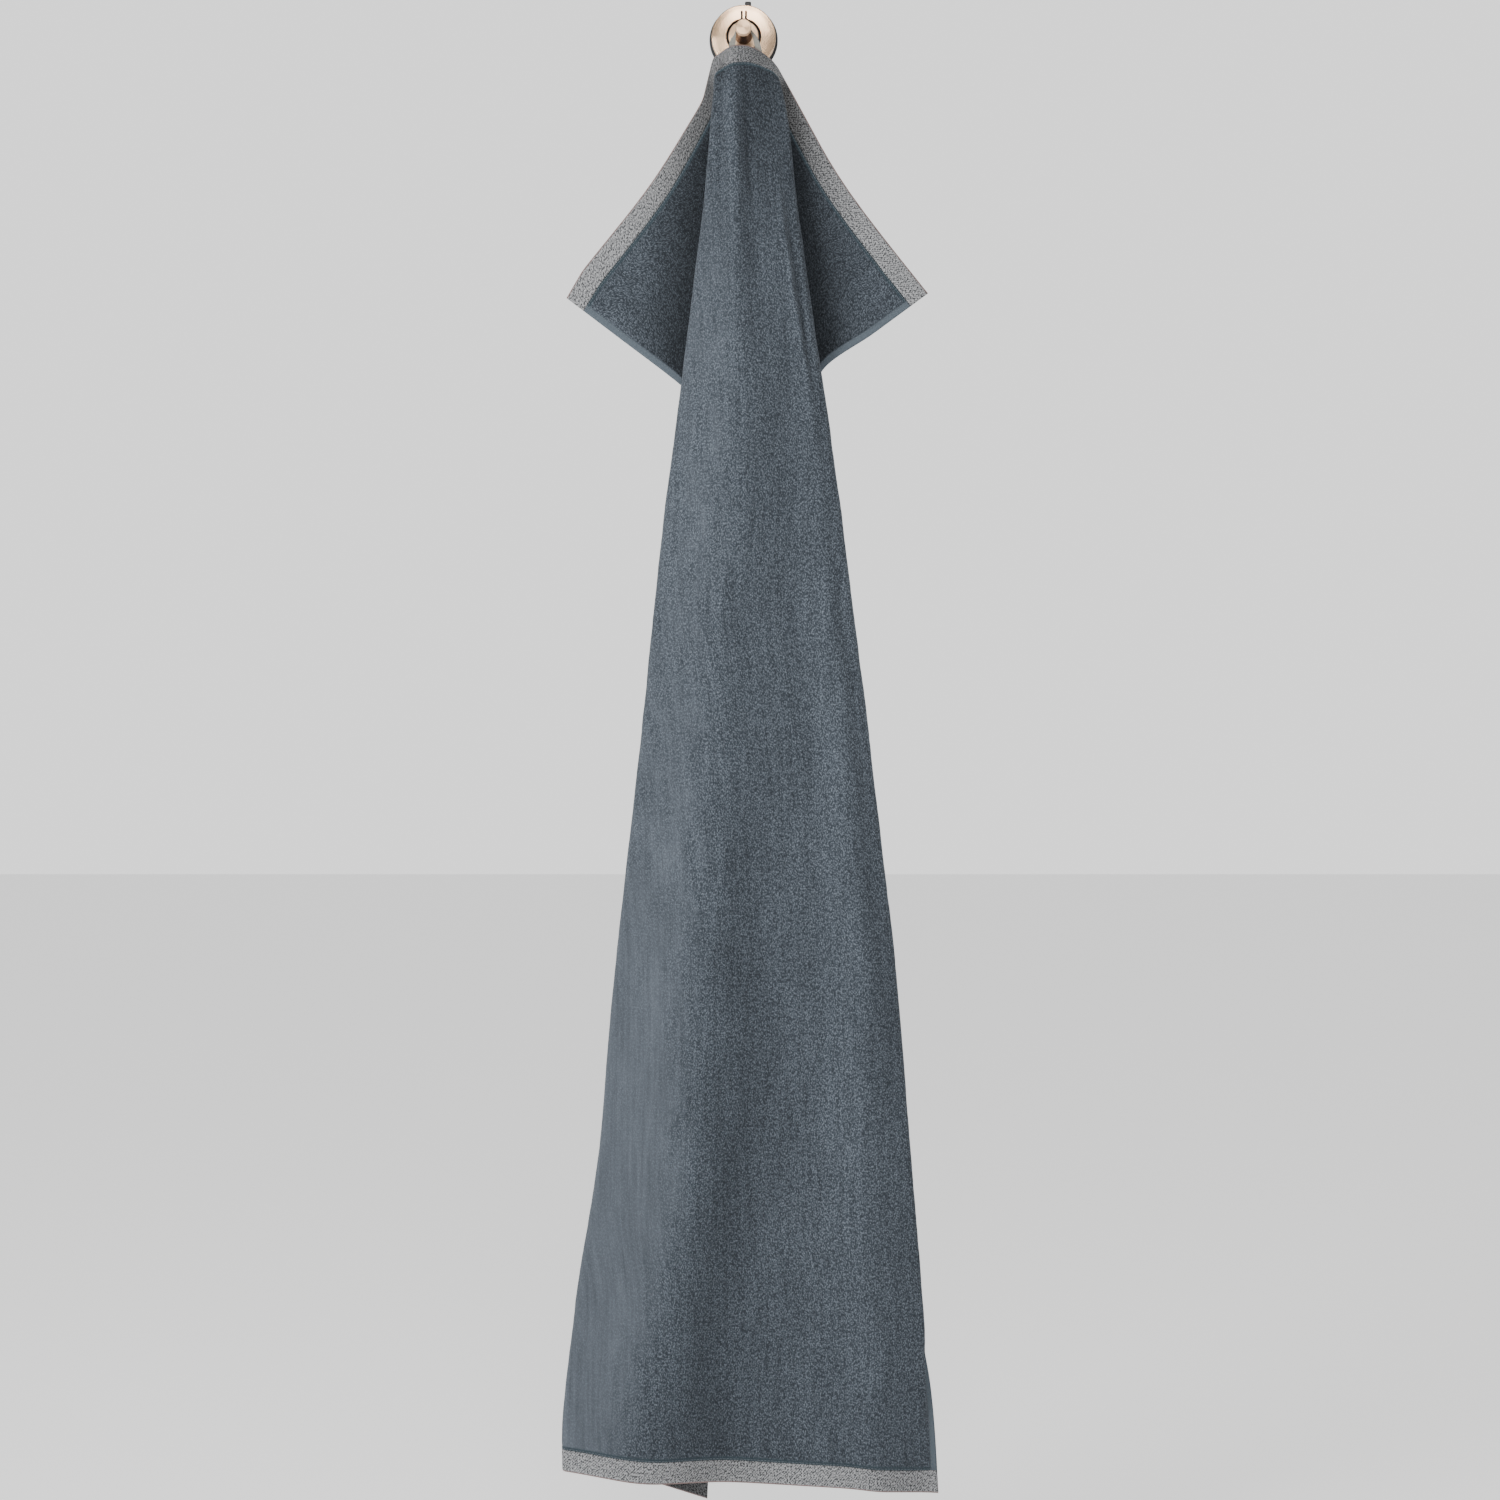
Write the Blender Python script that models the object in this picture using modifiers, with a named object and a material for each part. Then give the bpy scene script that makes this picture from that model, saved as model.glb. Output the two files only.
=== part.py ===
"""A bath towel that hangs from a round wall hook by the tape loop at the middle of one short end.

Metres, +Z up. The wall is the plane y = 0, the hook's pad lies on it with its centre at the origin,
and the towel hangs in front of it, towards -Y.

The towel is one sheet. Flat, it is FLAT_WIDTH across and FLAT_LENGTH along. Its front layer hangs
straight down. On each side it turns back at a fold, runs inwards behind the front layer, turns
again and comes out as a wing, so that both upper corners show beside the front layer.
"""

import math

import bpy
import numpy as np

FLAT_WIDTH = 0.670
FLAT_LENGTH = 1.400
BAND_WIDTH = 0.0215
SEAM_GAP = 0.0010
GATHERED_SEAM_GAP = 0.0013
TERRY_THICKNESS = 0.0030
BAND_THICKNESS = 0.0020

# Lines that run down the towel, from the hook edge to the lower edge.
# Columns: along (flat distance from the hook edge), across (flat distance from the middle),
# x, depth (distance from the wall), drop (distance below the hook's centre),
# turn (radius of the fold at that line, where the layers beside it overlap).
LEFT_SIDE = (
    (0.000, -0.335, -0.1768, 0.0180, 0.2624, 0.0),
    (0.070, -0.335, -0.1210, 0.0175, 0.3048, 0.0),
    (0.141, -0.335, -0.0645, 0.0145, 0.3473, 0.0),
    (0.157, -0.335, -0.0520, 0.0115, 0.3575, 0.0),
    (0.170, -0.335, -0.0430, 0.0095, 0.3670, 0.0),
    (0.200, -0.335, -0.0225, 0.0098, 0.3910, 0.0),
    (0.280, -0.335, -0.0020, 0.0112, 0.4560, 0.0),
    (0.450, -0.335, -0.0060, 0.0120, 0.6120, 0.0),
    (0.800, -0.335, -0.0160, 0.0120, 0.9300, 0.0),
    (1.150, -0.335, -0.0270, 0.0130, 1.2450, 0.0),
    (1.400, -0.335, -0.0362, 0.0180, 1.4614, 0.0),
)
LEFT_OUTER_FOLD = (
    (0.000, -0.300, -0.1606, 0.0190, 0.2348, 0.0040),
    (0.070, -0.310, -0.1071, 0.0200, 0.2840, 0.0040),
    (0.141, -0.322, -0.0600, 0.0188, 0.3350, 0.0044),
    (0.160, -0.322, -0.0555, 0.0192, 0.3500, 0.0046),
    (0.175, -0.318, -0.0560, 0.0192, 0.3640, 0.0048),
    (0.200, -0.305, -0.0565, 0.0190, 0.3850, 0.0050),
    (0.280, -0.290, -0.0585, 0.0180, 0.4500, 0.0052),
    (0.450, -0.270, -0.0740, 0.0175, 0.6000, 0.0052),
    (0.800, -0.255, -0.1000, 0.0175, 0.9200, 0.0052),
    (1.150, -0.245, -0.1200, 0.0185, 1.2200, 0.0054),
    (1.400, -0.240, -0.1280, 0.0200, 1.4360, 0.0060),
)
LEFT_WING = (
    (0.000, -0.190, -0.0915, 0.0250, 0.1510, 0.0),
    (0.022, -0.194, -0.0745, 0.0246, 0.1640, 0.0),
    (0.070, -0.205, -0.0480, 0.0240, 0.2060, 0.0),
    (0.141, -0.215, -0.0300, 0.0230, 0.2680, 0.0),
    (0.280, -0.220, -0.0300, 0.0230, 0.3970, 0.0),
    (0.450, -0.218, -0.0360, 0.0230, 0.5550, 0.0),
    (0.800, -0.217, -0.0520, 0.0230, 0.8800, 0.0),
    (1.150, -0.215, -0.0780, 0.0245, 1.2000, 0.0),
    (1.400, -0.212, -0.1010, 0.0260, 1.4310, 0.0),
)
LEFT_INNER_FOLD = (
    (0.000, -0.085, -0.0410, 0.0330, 0.0700, 0.0044),
    (0.022, -0.092, -0.0300, 0.0318, 0.0830, 0.0044),
    (0.048, -0.104, -0.0190, 0.0300, 0.1110, 0.0044),
    (0.070, -0.115, -0.0115, 0.0293, 0.1370, 0.0048),
    (0.141, -0.130, -0.0040, 0.0280, 0.2120, 0.0052),
    (0.280, -0.150, -0.0020, 0.0280, 0.3450, 0.0050),
    (0.450, -0.165, 0.0030, 0.0280, 0.5100, 0.0050),
    (0.800, -0.178, -0.0050, 0.0290, 0.8450, 0.0060),
    (1.150, -0.185, -0.0350, 0.0310, 1.1850, 0.0062),
    (1.400, -0.185, -0.0750, 0.0330, 1.4270, 0.0070),
)
LEFT_FOLD = (
    (0.000, -0.032, -0.0315, 0.0400, 0.0290, 0.0044),
    (0.022, -0.034, -0.0290, 0.0442, 0.0455, 0.0046),
    (0.048, -0.036, -0.0310, 0.0450, 0.0740, 0.0050),
    (0.070, -0.037, -0.0330, 0.0448, 0.0960, 0.0060),
    (0.141, -0.040, -0.0388, 0.0420, 0.1660, 0.0078),
    (0.240, -0.044, -0.0512, 0.0410, 0.2640, 0.0080),
    (0.350, -0.046, -0.0650, 0.0410, 0.3730, 0.0080),
    (0.500, -0.050, -0.0830, 0.0415, 0.5210, 0.0082),
    (0.700, -0.056, -0.1035, 0.0425, 0.7190, 0.0085),
    (0.900, -0.062, -0.1260, 0.0440, 0.9180, 0.0088),
    (1.100, -0.066, -0.1440, 0.0450, 1.1180, 0.0088),
    (1.250, -0.071, -0.1670, 0.0470, 1.2690, 0.0090),
    (1.378, -0.075, -0.1796, 0.0490, 1.4010, 0.0090),
    (1.400, -0.075, -0.1792, 0.0490, 1.4230, 0.0090),
)
RIGHT_FOLD = (
    (0.000, 0.034, 0.0355, 0.0380, 0.0385, 0.0044),
    (0.022, 0.037, 0.0345, 0.0445, 0.0490, 0.0044),
    (0.030, 0.038, 0.0372, 0.0448, 0.0570, 0.0044),
    (0.060, 0.041, 0.0432, 0.0448, 0.0870, 0.0046),
    (0.080, 0.043, 0.0462, 0.0442, 0.1070, 0.0052),
    (0.141, 0.052, 0.0528, 0.0420, 0.1740, 0.0075),
    (0.240, 0.078, 0.0668, 0.0410, 0.2700, 0.0085),
    (0.350, 0.107, 0.0830, 0.0410, 0.3800, 0.0090),
    (0.500, 0.140, 0.1030, 0.0410, 0.5300, 0.0090),
    (0.700, 0.185, 0.1280, 0.0420, 0.7330, 0.0085),
    (0.900, 0.224, 0.1510, 0.0440, 0.9360, 0.0075),
    (1.080, 0.256, 0.1650, 0.0460, 1.1180, 0.0060),
    (1.200, 0.285, 0.1755, 0.0480, 1.2400, 0.0045),
    (1.260, 0.297, 0.1795, 0.0490, 1.3020, 0.0042),
    (1.300, 0.303, 0.1800, 0.0492, 1.3430, 0.0040),
    (1.340, 0.308, 0.1775, 0.0492, 1.3840, 0.0040),
    (1.400, 0.316, 0.1765, 0.0490, 1.4455, 0.0040),
)
RIGHT_INNER_FOLD = (
    (0.000, 0.080, 0.0500, 0.0335, 0.0650, 0.0044),
    (0.022, 0.084, 0.0370, 0.0325, 0.0815, 0.0044),
    (0.030, 0.085, 0.0350, 0.0320, 0.0900, 0.0044),
    (0.060, 0.092, 0.0300, 0.0308, 0.1200, 0.0044),
    (0.080, 0.097, 0.0285, 0.0295, 0.1450, 0.0048),
    (0.141, 0.115, 0.0200, 0.0280, 0.2070, 0.0050),
    (0.280, 0.160, 0.0140, 0.0270, 0.3450, 0.0055),
    (0.450, 0.205, 0.0150, 0.0265, 0.5050, 0.0055),
    (0.700, 0.255, 0.0330, 0.0285, 0.7500, 0.0055),
    (0.900, 0.280, 0.0750, 0.0325, 0.9450, 0.0048),
    (1.080, 0.296, 0.1240, 0.0375, 1.1230, 0.0044),
    (1.200, 0.308, 0.1570, 0.0395, 1.2420, 0.0040),
    (1.260, 0.315, 0.1710, 0.0405, 1.3030, 0.0040),
    (1.300, 0.318, 0.1785, 0.0420, 1.3435, 0.0040),
    (1.340, 0.322, 0.1830, 0.0445, 1.3843, 0.0040),
    (1.400, 0.327, 0.1855, 0.0465, 1.4465, 0.0040),
)
RIGHT_WING = (
    (0.000, 0.190, 0.1010, 0.0250, 0.1562, 0.0),
    (0.022, 0.194, 0.0840, 0.0247, 0.1690, 0.0),
    (0.070, 0.200, 0.0610, 0.0240, 0.2080, 0.0),
    (0.141, 0.215, 0.0480, 0.0220, 0.2720, 0.0),
    (0.280, 0.245, 0.0400, 0.0215, 0.3990, 0.0),
    (0.450, 0.270, 0.0500, 0.0210, 0.5580, 0.0),
    (0.700, 0.295, 0.0740, 0.0230, 0.7920, 0.0),
    (0.900, 0.308, 0.1050, 0.0275, 0.9700, 0.0),
    (1.080, 0.316, 0.1380, 0.0335, 1.1370, 0.0),
    (1.200, 0.323, 0.1620, 0.0358, 1.2470, 0.0),
    (1.260, 0.326, 0.1755, 0.0368, 1.3060, 0.0),
    (1.300, 0.328, 0.1820, 0.0395, 1.3440, 0.0),
    (1.340, 0.329, 0.1862, 0.0435, 1.3846, 0.0),
    (1.400, 0.331, 0.1888, 0.0460, 1.4469, 0.0),
)
RIGHT_SIDE = (
    (0.000, 0.335, 0.1842, 0.0180, 0.2578, 0.0),
    (0.066, 0.335, 0.1310, 0.0180, 0.2970, 0.0),
    (0.132, 0.335, 0.0779, 0.0180, 0.3361, 0.0),
    (0.180, 0.335, 0.0640, 0.0170, 0.3700, 0.0),
    (0.240, 0.335, 0.0630, 0.0160, 0.4220, 0.0),
    (0.350, 0.335, 0.0730, 0.0155, 0.5200, 0.0),
    (0.500, 0.335, 0.0900, 0.0155, 0.6560, 0.0),
    (0.700, 0.335, 0.1120, 0.0175, 0.8350, 0.0),
    (0.900, 0.335, 0.1340, 0.0225, 1.0060, 0.0),
    (1.080, 0.335, 0.1530, 0.0295, 1.1530, 0.0),
    (1.200, 0.335, 0.1680, 0.0345, 1.2530, 0.0),
    (1.260, 0.335, 0.1790, 0.0355, 1.3090, 0.0),
    (1.300, 0.335, 0.1850, 0.0385, 1.3450, 0.0),
    (1.340, 0.335, 0.1888, 0.0430, 1.3850, 0.0),
    (1.400, 0.335, 0.1922, 0.0450, 1.4473, 0.0),
)

# The soft waves of the front layer: two ridges, a middle swell and two valleys between the folds.
# Columns: along, then x and depth of each line.
FRONT_LINES = ("left_ridge", "left_valley", "middle", "right_valley", "right_ridge")
FRONT_WAVES = (
    (0.000, -0.0120, 0.0465, 0.0020, 0.0462, 0.0125, 0.0460, 0.0205, 0.0450, 0.0280, 0.0438),
    (0.034, -0.0114, 0.0535, 0.0044, 0.0470, 0.0143, 0.0495, 0.0212, 0.0490, 0.0280, 0.0480),
    (0.103, -0.0074, 0.0560, 0.0074, 0.0465, 0.0182, 0.0500, 0.0251, 0.0520, 0.0320, 0.0515),
    (0.202, -0.0054, 0.0575, 0.0113, 0.0485, 0.0241, 0.0520, 0.0335, 0.0545, 0.0430, 0.0535),
    (0.350, -0.0054, 0.0595, 0.0182, 0.0545, 0.0340, 0.0520, 0.0508, 0.0475, 0.0660, 0.0520),
    (0.449, -0.0054, 0.0605, 0.0182, 0.0540, 0.0340, 0.0510, 0.0538, 0.0465, 0.0765, 0.0530),
    (0.548, -0.0252, 0.0625, 0.0044, 0.0515, 0.0311, 0.0535, 0.0528, 0.0500, 0.0834, 0.0575),
    (0.646, -0.0311, 0.0635, 0.0084, 0.0485, 0.0429, 0.0575, 0.0676, 0.0520, 0.0972, 0.0600),
    (0.745, -0.0400, 0.0650, 0.0123, 0.0450, 0.0528, 0.0580, 0.0755, 0.0560, 0.1051, 0.0620),
    (0.943, -0.0578, 0.0690, 0.0133, 0.0420, 0.0607, 0.0570, 0.0814, 0.0540, 0.1199, 0.0650),
    (1.140, -0.0677, 0.0740, -0.0015, 0.0400, 0.0558, 0.0560, 0.0854, 0.0580, 0.1170, 0.0665),
    (1.238, -0.0785, 0.0790, -0.0133, 0.0400, 0.0676, 0.0565, 0.0953, 0.0580, 0.1269, 0.0665),
    (1.337, -0.0924, 0.0815, -0.0183, 0.0425, 0.0676, 0.0560, 0.1002, 0.0580, 0.1269, 0.0640),
    (1.400, -0.0973, 0.0820, -0.0212, 0.0460, 0.0706, 0.0570, 0.1051, 0.0590, 0.1328, 0.0635),
)
# Drops of those lines, at the flat distances of FRONT_DROP_PLACES from the hook edge.
FRONT_DROP_PLACES = (0.0, 0.0215, 0.100, 1.400)
FRONT_DROPS = (
    (0.0185, 0.0375, 0.1167, 1.4290),
    (0.0180, 0.0350, 0.1148, 1.4355),
    (0.0215, 0.0380, 0.1177, 1.4375),
    (0.0265, 0.0410, 0.1206, 1.4390),
    (0.0325, 0.0440, 0.1236, 1.4410),
)

# Shape of a fold's control points: their angles round the fold, how far out they lie so that the
# cloth itself has the fold's radius, how far apart they lie where the cloth isn't folded, and the
# overlap of the layers, in fold radii, from which on the fold is a full round.
FOLD_ANGLES = (-90, -45, 0, 45, 90)
FOLD_OVERSHOOT = 1.109
FOLD_SPREAD = 0.2
FULL_FOLD_OVERLAP = 2.5
# Number of the first control point of each fold along the section.
FOLD_STARTS = (2, 8, 14, 30, 36)

# Sizes of the hook.
PAD_RADIUS = 0.0344
PAD_LIP_THICKNESS = 0.0016
PAD_BODY_RADIUS = 0.0300
PAD_THICKNESS = 0.0055
TAB_WIDTH = 0.0064
TAB_X = 0.0044
TAB_TOP = 0.0385
TAB_THICKNESS = 0.0040
COVER_RADIUS = 0.0321
COVER_BACK = 0.0060
COVER_RIM_DEPTH = 0.0135
COVER_FACE_DEPTH = 0.0150
COVER_EDGE_ROUND = 0.0014
HUB_WELL_RADIUS = 0.0174
HUB_WELL_DEPTH = 0.0110
HUB_RADIUS = 0.0151
HUB_FACE_DEPTH = 0.0162
HUB_EDGE_ROUND = 0.0010
HUB_GAP = 0.0006
SLOT_OFFSETS = (-0.0018, 0.0024)
SLOT_WIDTH = 0.0017
SLOT_BOTTOM = 0.0168
SLOT_TOP = 0.0258
SLOT_FLOOR_DEPTH = 0.0132
PEG_FOOT_RADIUS = 0.0088
PEG_NECK_RADIUS = 0.0057
PEG_HEAD_RADIUS = 0.0079
PEG_NECK_DEPTH = 0.0270
PEG_HEAD_BACK_DEPTH = 0.0400
PEG_END_DEPTH = 0.0460
ROUND_STEPS = 64

TAPE_WIDTH = 0.0060
TAPE_THICKNESS = 0.0010


def clear_scene():
    for obj in list(bpy.data.objects):
        bpy.data.objects.remove(obj, do_unlink=True)


def new_collection(name):
    collection = bpy.data.collections.new(name)
    bpy.context.scene.collection.children.link(collection)
    return collection


def move_to(obj, collection):
    for holder in list(obj.users_collection):
        holder.objects.unlink(obj)
    collection.objects.link(obj)


def make_material(name, colour, roughness, metallic=0.0):
    material = bpy.data.materials.new(name)
    material.use_nodes = True
    shader = material.node_tree.nodes["Principled BSDF"]
    shader.inputs["Base Color"].default_value = (*colour, 1.0)
    shader.inputs["Roughness"].default_value = roughness
    shader.inputs["Metallic"].default_value = metallic
    return material


def slopes(knots, values):
    """Slope at each knot that keeps the curve between its knots' values."""
    steps = np.diff(knots)
    rates = np.diff(values) / steps
    inner = np.zeros(len(knots))
    same_sign = rates[:-1] * rates[1:] > 0
    weight_a = 2 * steps[1:] + steps[:-1]
    weight_b = steps[1:] + 2 * steps[:-1]
    safe_a = np.where(same_sign, rates[:-1], 1.0)
    safe_b = np.where(same_sign, rates[1:], 1.0)
    mean = (weight_a + weight_b) / (weight_a / safe_a + weight_b / safe_b)
    inner[1:-1] = np.where(same_sign, mean, 0.0)
    inner[0] = rates[0]
    inner[-1] = rates[-1]
    return inner


def smooth_column(knots, values, at):
    """A smooth curve through the table's values that makes no new bump."""
    knots = np.asarray(knots, float)
    values = np.asarray(values, float)
    tangent = slopes(knots, values)
    cell = np.clip(np.searchsorted(knots, at, side="right") - 1, 0, len(knots) - 2)
    step = knots[cell + 1] - knots[cell]
    part = (at - knots[cell]) / step
    low = values[cell] * (1 + 2 * part) * (1 - part) ** 2
    low += tangent[cell] * step * part * (1 - part) ** 2
    high = values[cell + 1] * part**2 * (3 - 2 * part)
    high += tangent[cell + 1] * step * part**2 * (part - 1)
    return low + high


def read_line(table, along):
    """across, x, depth, drop and turn of a line at the flat distances in along."""
    rows = np.array(table)
    return [smooth_column(rows[:, 0], rows[:, column], along) for column in range(1, 6)]


def centre_of(line):
    across, x, depth, drop, _ = line
    return (x, depth, drop, across)


def blend(first, second, share):
    return tuple(a + (b - a) * share for a, b in zip(first, second))


def fold_knots(line, side, first_back, before, after, overlap):
    """Five control points round a fold, between the centres of the lines before and after it.

    side is -1 where the fold bulges to -X and 1 to +X. first_back is True where the cloth comes to
    the fold on the wall's side. overlap is how far the layers on both sides of the fold overlap:
    where they don't, the five points lie evenly along the cloth.
    """
    across, x, depth, drop, turn = line
    centre = centre_of(line)
    folded_share = np.clip(overlap / (FULL_FOLD_OVERLAP * turn), 0.0, 1.0)
    folded_share = folded_share**2 * (3 - 2 * folded_share)
    knots = []
    for step, angle in enumerate(FOLD_ANGLES):
        reach = FOLD_SPREAD * (2 - step)
        towards = before if step < 2 else after
        flat = blend(centre, towards, abs(reach))
        lean = math.cos(math.radians(angle)) * FOLD_OVERSHOOT
        rise = math.sin(math.radians(angle)) * (1.0 if abs(angle) == 90 else FOLD_OVERSHOOT)
        toward_viewer = rise if first_back else -rise
        bent = (x - side * turn * (1 - lean), depth + toward_viewer * turn, drop, across)
        knots.append(blend(flat, bent, folded_share))
    return knots


def halfway(first, second):
    return blend(first, second, 0.5)


def control_points(along):
    """Control points of the section across the towel, at each flat distance in along."""
    half = TERRY_THICKNESS / 2
    left_fold = read_line(LEFT_FOLD, along)
    right_fold = read_line(RIGHT_FOLD, along)
    left_fold[1] = left_fold[1] + half
    right_fold[1] = right_fold[1] - half
    waves = np.array(FRONT_WAVES)
    front = []
    for index in range(len(FRONT_LINES)):
        x = smooth_column(waves[:, 0], waves[:, 1 + 2 * index], along)
        depth = smooth_column(waves[:, 0], waves[:, 2 + 2 * index], along)
        drop = smooth_column(FRONT_DROP_PLACES, FRONT_DROPS[index], along)
        share = (x - left_fold[1]) / (right_fold[1] - left_fold[1])
        across = left_fold[0] + share * (right_fold[0] - left_fold[0])
        front.append((x, depth, drop, across))

    outer_line = read_line(LEFT_OUTER_FOLD, along)
    inner_line = read_line(LEFT_INNER_FOLD, along)
    right_inner_line = read_line(RIGHT_INNER_FOLD, along)
    left_edge = centre_of(read_line(LEFT_SIDE, along))
    left_wing = centre_of(read_line(LEFT_WING, along))
    right_wing = centre_of(read_line(RIGHT_WING, along))
    right_edge = centre_of(read_line(RIGHT_SIDE, along))
    outer_overlap = left_edge[0] - outer_line[1]
    left_overlap = inner_line[1] - left_fold[1]
    right_overlap = right_fold[1] - right_inner_line[1]
    left_centre = centre_of(left_fold)
    right_centre = centre_of(right_fold)
    inner_centre = centre_of(inner_line)
    right_inner_centre = centre_of(right_inner_line)
    outer = fold_knots(outer_line, -1, True, left_edge, left_wing, outer_overlap)
    inner = fold_knots(inner_line, 1, True, left_wing, left_centre, left_overlap)
    left = fold_knots(left_fold, -1, True, inner_centre, front[0], left_overlap)
    right = fold_knots(right_fold, 1, False, front[-1], right_inner_centre, right_overlap)
    right_inner = fold_knots(right_inner_line, -1, False, right_centre, right_wing, right_overlap)

    chain = [left_edge, halfway(left_edge, outer[0]), *outer, left_wing, *inner]
    chain += [halfway(inner[-1], left[0]), *left, halfway(left[-1], front[0])]
    for before, after in zip(front, front[1:]):
        chain += [before, halfway(before, after)]
    chain += [front[-1], halfway(front[-1], right[0]), *right]
    chain += [halfway(right[-1], right_inner[0]), *right_inner, right_wing, right_edge]
    shape = np.shape(along)
    return np.array([[np.broadcast_to(v, shape) for v in knot] for knot in chain])


def section_samples(per_fold_span, per_front_span, per_hidden_span):
    """Positions along the section: finer round the folds than between them."""
    front_first = FOLD_STARTS[2]
    front_last = FOLD_STARTS[3]
    positions = [0.0]
    for span in range(len(control_points(np.zeros(1))) - 1):
        if any(start <= span < start + 4 for start in FOLD_STARTS):
            count = per_fold_span
        elif front_first < span < front_last:
            count = per_front_span
        else:
            count = per_hidden_span
        positions += [span + (step + 1) / count for step in range(count)]
    return np.array(positions)


def spline_weights(positions, knot_count):
    """Weights of the control points for a smooth curve that starts and ends on the outer ones."""
    weights = np.zeros((len(positions), knot_count + 2))
    for row, position in enumerate(positions):
        span = min(int(position), knot_count - 2)
        part = position - span
        weights[row, span] = (1 - part) ** 3 / 6
        weights[row, span + 1] = (3 * part**3 - 6 * part**2 + 4) / 6
        weights[row, span + 2] = (-3 * part**3 + 3 * part**2 + 3 * part + 1) / 6
        weights[row, span + 3] = part**3 / 6
    inner = weights[:, 1:-1].copy()
    inner[:, 0] += 2 * weights[:, 0]
    inner[:, 1] -= weights[:, 0]
    inner[:, -1] += 2 * weights[:, -1]
    inner[:, -2] -= weights[:, -1]
    return inner


def drape(positions, along):
    """Points of the towel's middle surface, one row for each value of along."""
    knots = control_points(along)
    weights = spline_weights(positions, len(knots))
    x, depth, drop, across = np.einsum("pk,kvr->vrp", weights, knots)
    return np.stack((x, -depth, -drop), axis=-1), across


def row_positions(first, last, count, crowd):
    """Flat distances from first to last, closer together near the hook when crowd is over 1."""
    share = np.linspace(0.0, 1.0, count + 1)
    return first + (last - first) * share**crowd


def surface_normals(positions, along):
    """Unit normals of the drape, towards the side that the front layer shows."""
    reach = 0.3
    stride = 0.0015
    last = len(control_points(np.zeros(1))) - 1
    before, _ = drape(np.clip(positions - reach, 0, last), along)
    after, _ = drape(np.clip(positions + reach, 0, last), along)
    above, _ = drape(positions, np.clip(along - stride, 0, FLAT_LENGTH))
    below, _ = drape(positions, np.clip(along + stride, 0, FLAT_LENGTH))
    normal = np.cross(below - above, after - before)
    return normal / np.linalg.norm(normal, axis=-1, keepdims=True)


def sheet_faces(row_count, column_count):
    """Faces of a closed sheet: its front grid, its back grid and the rim between them."""
    count = row_count * column_count
    faces = []
    for row in range(row_count - 1):
        for column in range(column_count - 1):
            corner = row * column_count + column
            below = corner + column_count
            faces.append((corner, below, below + 1, corner + 1))
            faces.append((corner + count, corner + 1 + count, below + 1 + count, below + count))
    top = list(range(column_count))
    right = [(row + 1) * column_count - 1 for row in range(row_count)]
    bottom = [(row_count - 1) * column_count + column for column in reversed(top)]
    left = [row * column_count for row in reversed(range(row_count))]
    outline = top[:-1] + right[:-1] + bottom[:-1] + left
    for first, second in zip(outline, outline[1:]):
        faces.append((first, second, second + count, first + count))
    return faces


def make_sheet(name, collection, material, positions, along, thickness):
    """A closed sheet laid on the drape, as thick to one side as to the other."""
    points, _ = drape(positions, along)
    lift = surface_normals(positions, along) * thickness / 2
    both = np.concatenate(((points + lift).reshape(-1, 3), (points - lift).reshape(-1, 3)))
    mesh = bpy.data.meshes.new(name)
    mesh.from_pydata(both.tolist(), [], sheet_faces(len(along), len(positions)))
    mesh.materials.append(material)
    sheet = bpy.data.objects.new(name, mesh)
    collection.objects.link(sheet)
    return sheet


def make_round(name, collection, material, profile):
    """A solid turned about the hook's axis. profile rows: distance from the axis, depth."""
    mesh = bpy.data.meshes.new(name)
    points = [(radius, 0.0, -depth) for radius, depth in reversed(profile)]
    edges = [(i, i + 1) for i in range(len(points) - 1)]
    mesh.from_pydata(points, edges, [])
    turned = bpy.data.objects.new(name, mesh)
    collection.objects.link(turned)
    turned.rotation_euler = (-math.pi / 2, 0.0, 0.0)
    screw = turned.modifiers.new("turn", "SCREW")
    screw.axis = "Z"
    screw.steps = ROUND_STEPS
    screw.render_steps = ROUND_STEPS
    screw.use_merge_vertices = True
    screw.merge_threshold = 0.00005
    screw.use_normal_calculate = True
    mesh.materials.append(material)
    return turned


def rounded_corner(radius, depth, round_size, steps=4):
    """Points of an outer corner at (radius, depth), from the face to the side."""
    rows = []
    for step in range(steps + 1):
        angle = math.pi / 2 * (1 - step / steps)
        rows.append(
            (
                radius - round_size + round_size * math.cos(angle),
                depth - round_size + round_size * math.sin(angle),
            )
        )
    return rows


def make_box(name, collection, low, high):
    bpy.ops.mesh.primitive_cube_add(size=1.0)
    box = bpy.context.object
    box.name = name
    box.scale = [b - a for a, b in zip(low, high)]
    box.location = [(a + b) / 2 for a, b in zip(low, high)]
    move_to(box, collection)
    return box


def cut(target, cutter, operation="DIFFERENCE"):
    cutter.hide_render = True
    cutter.display_type = "WIRE"
    step = target.modifiers.new(cutter.name, "BOOLEAN")
    step.operation = operation
    step.solver = "EXACT"
    step.object = cutter


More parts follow.
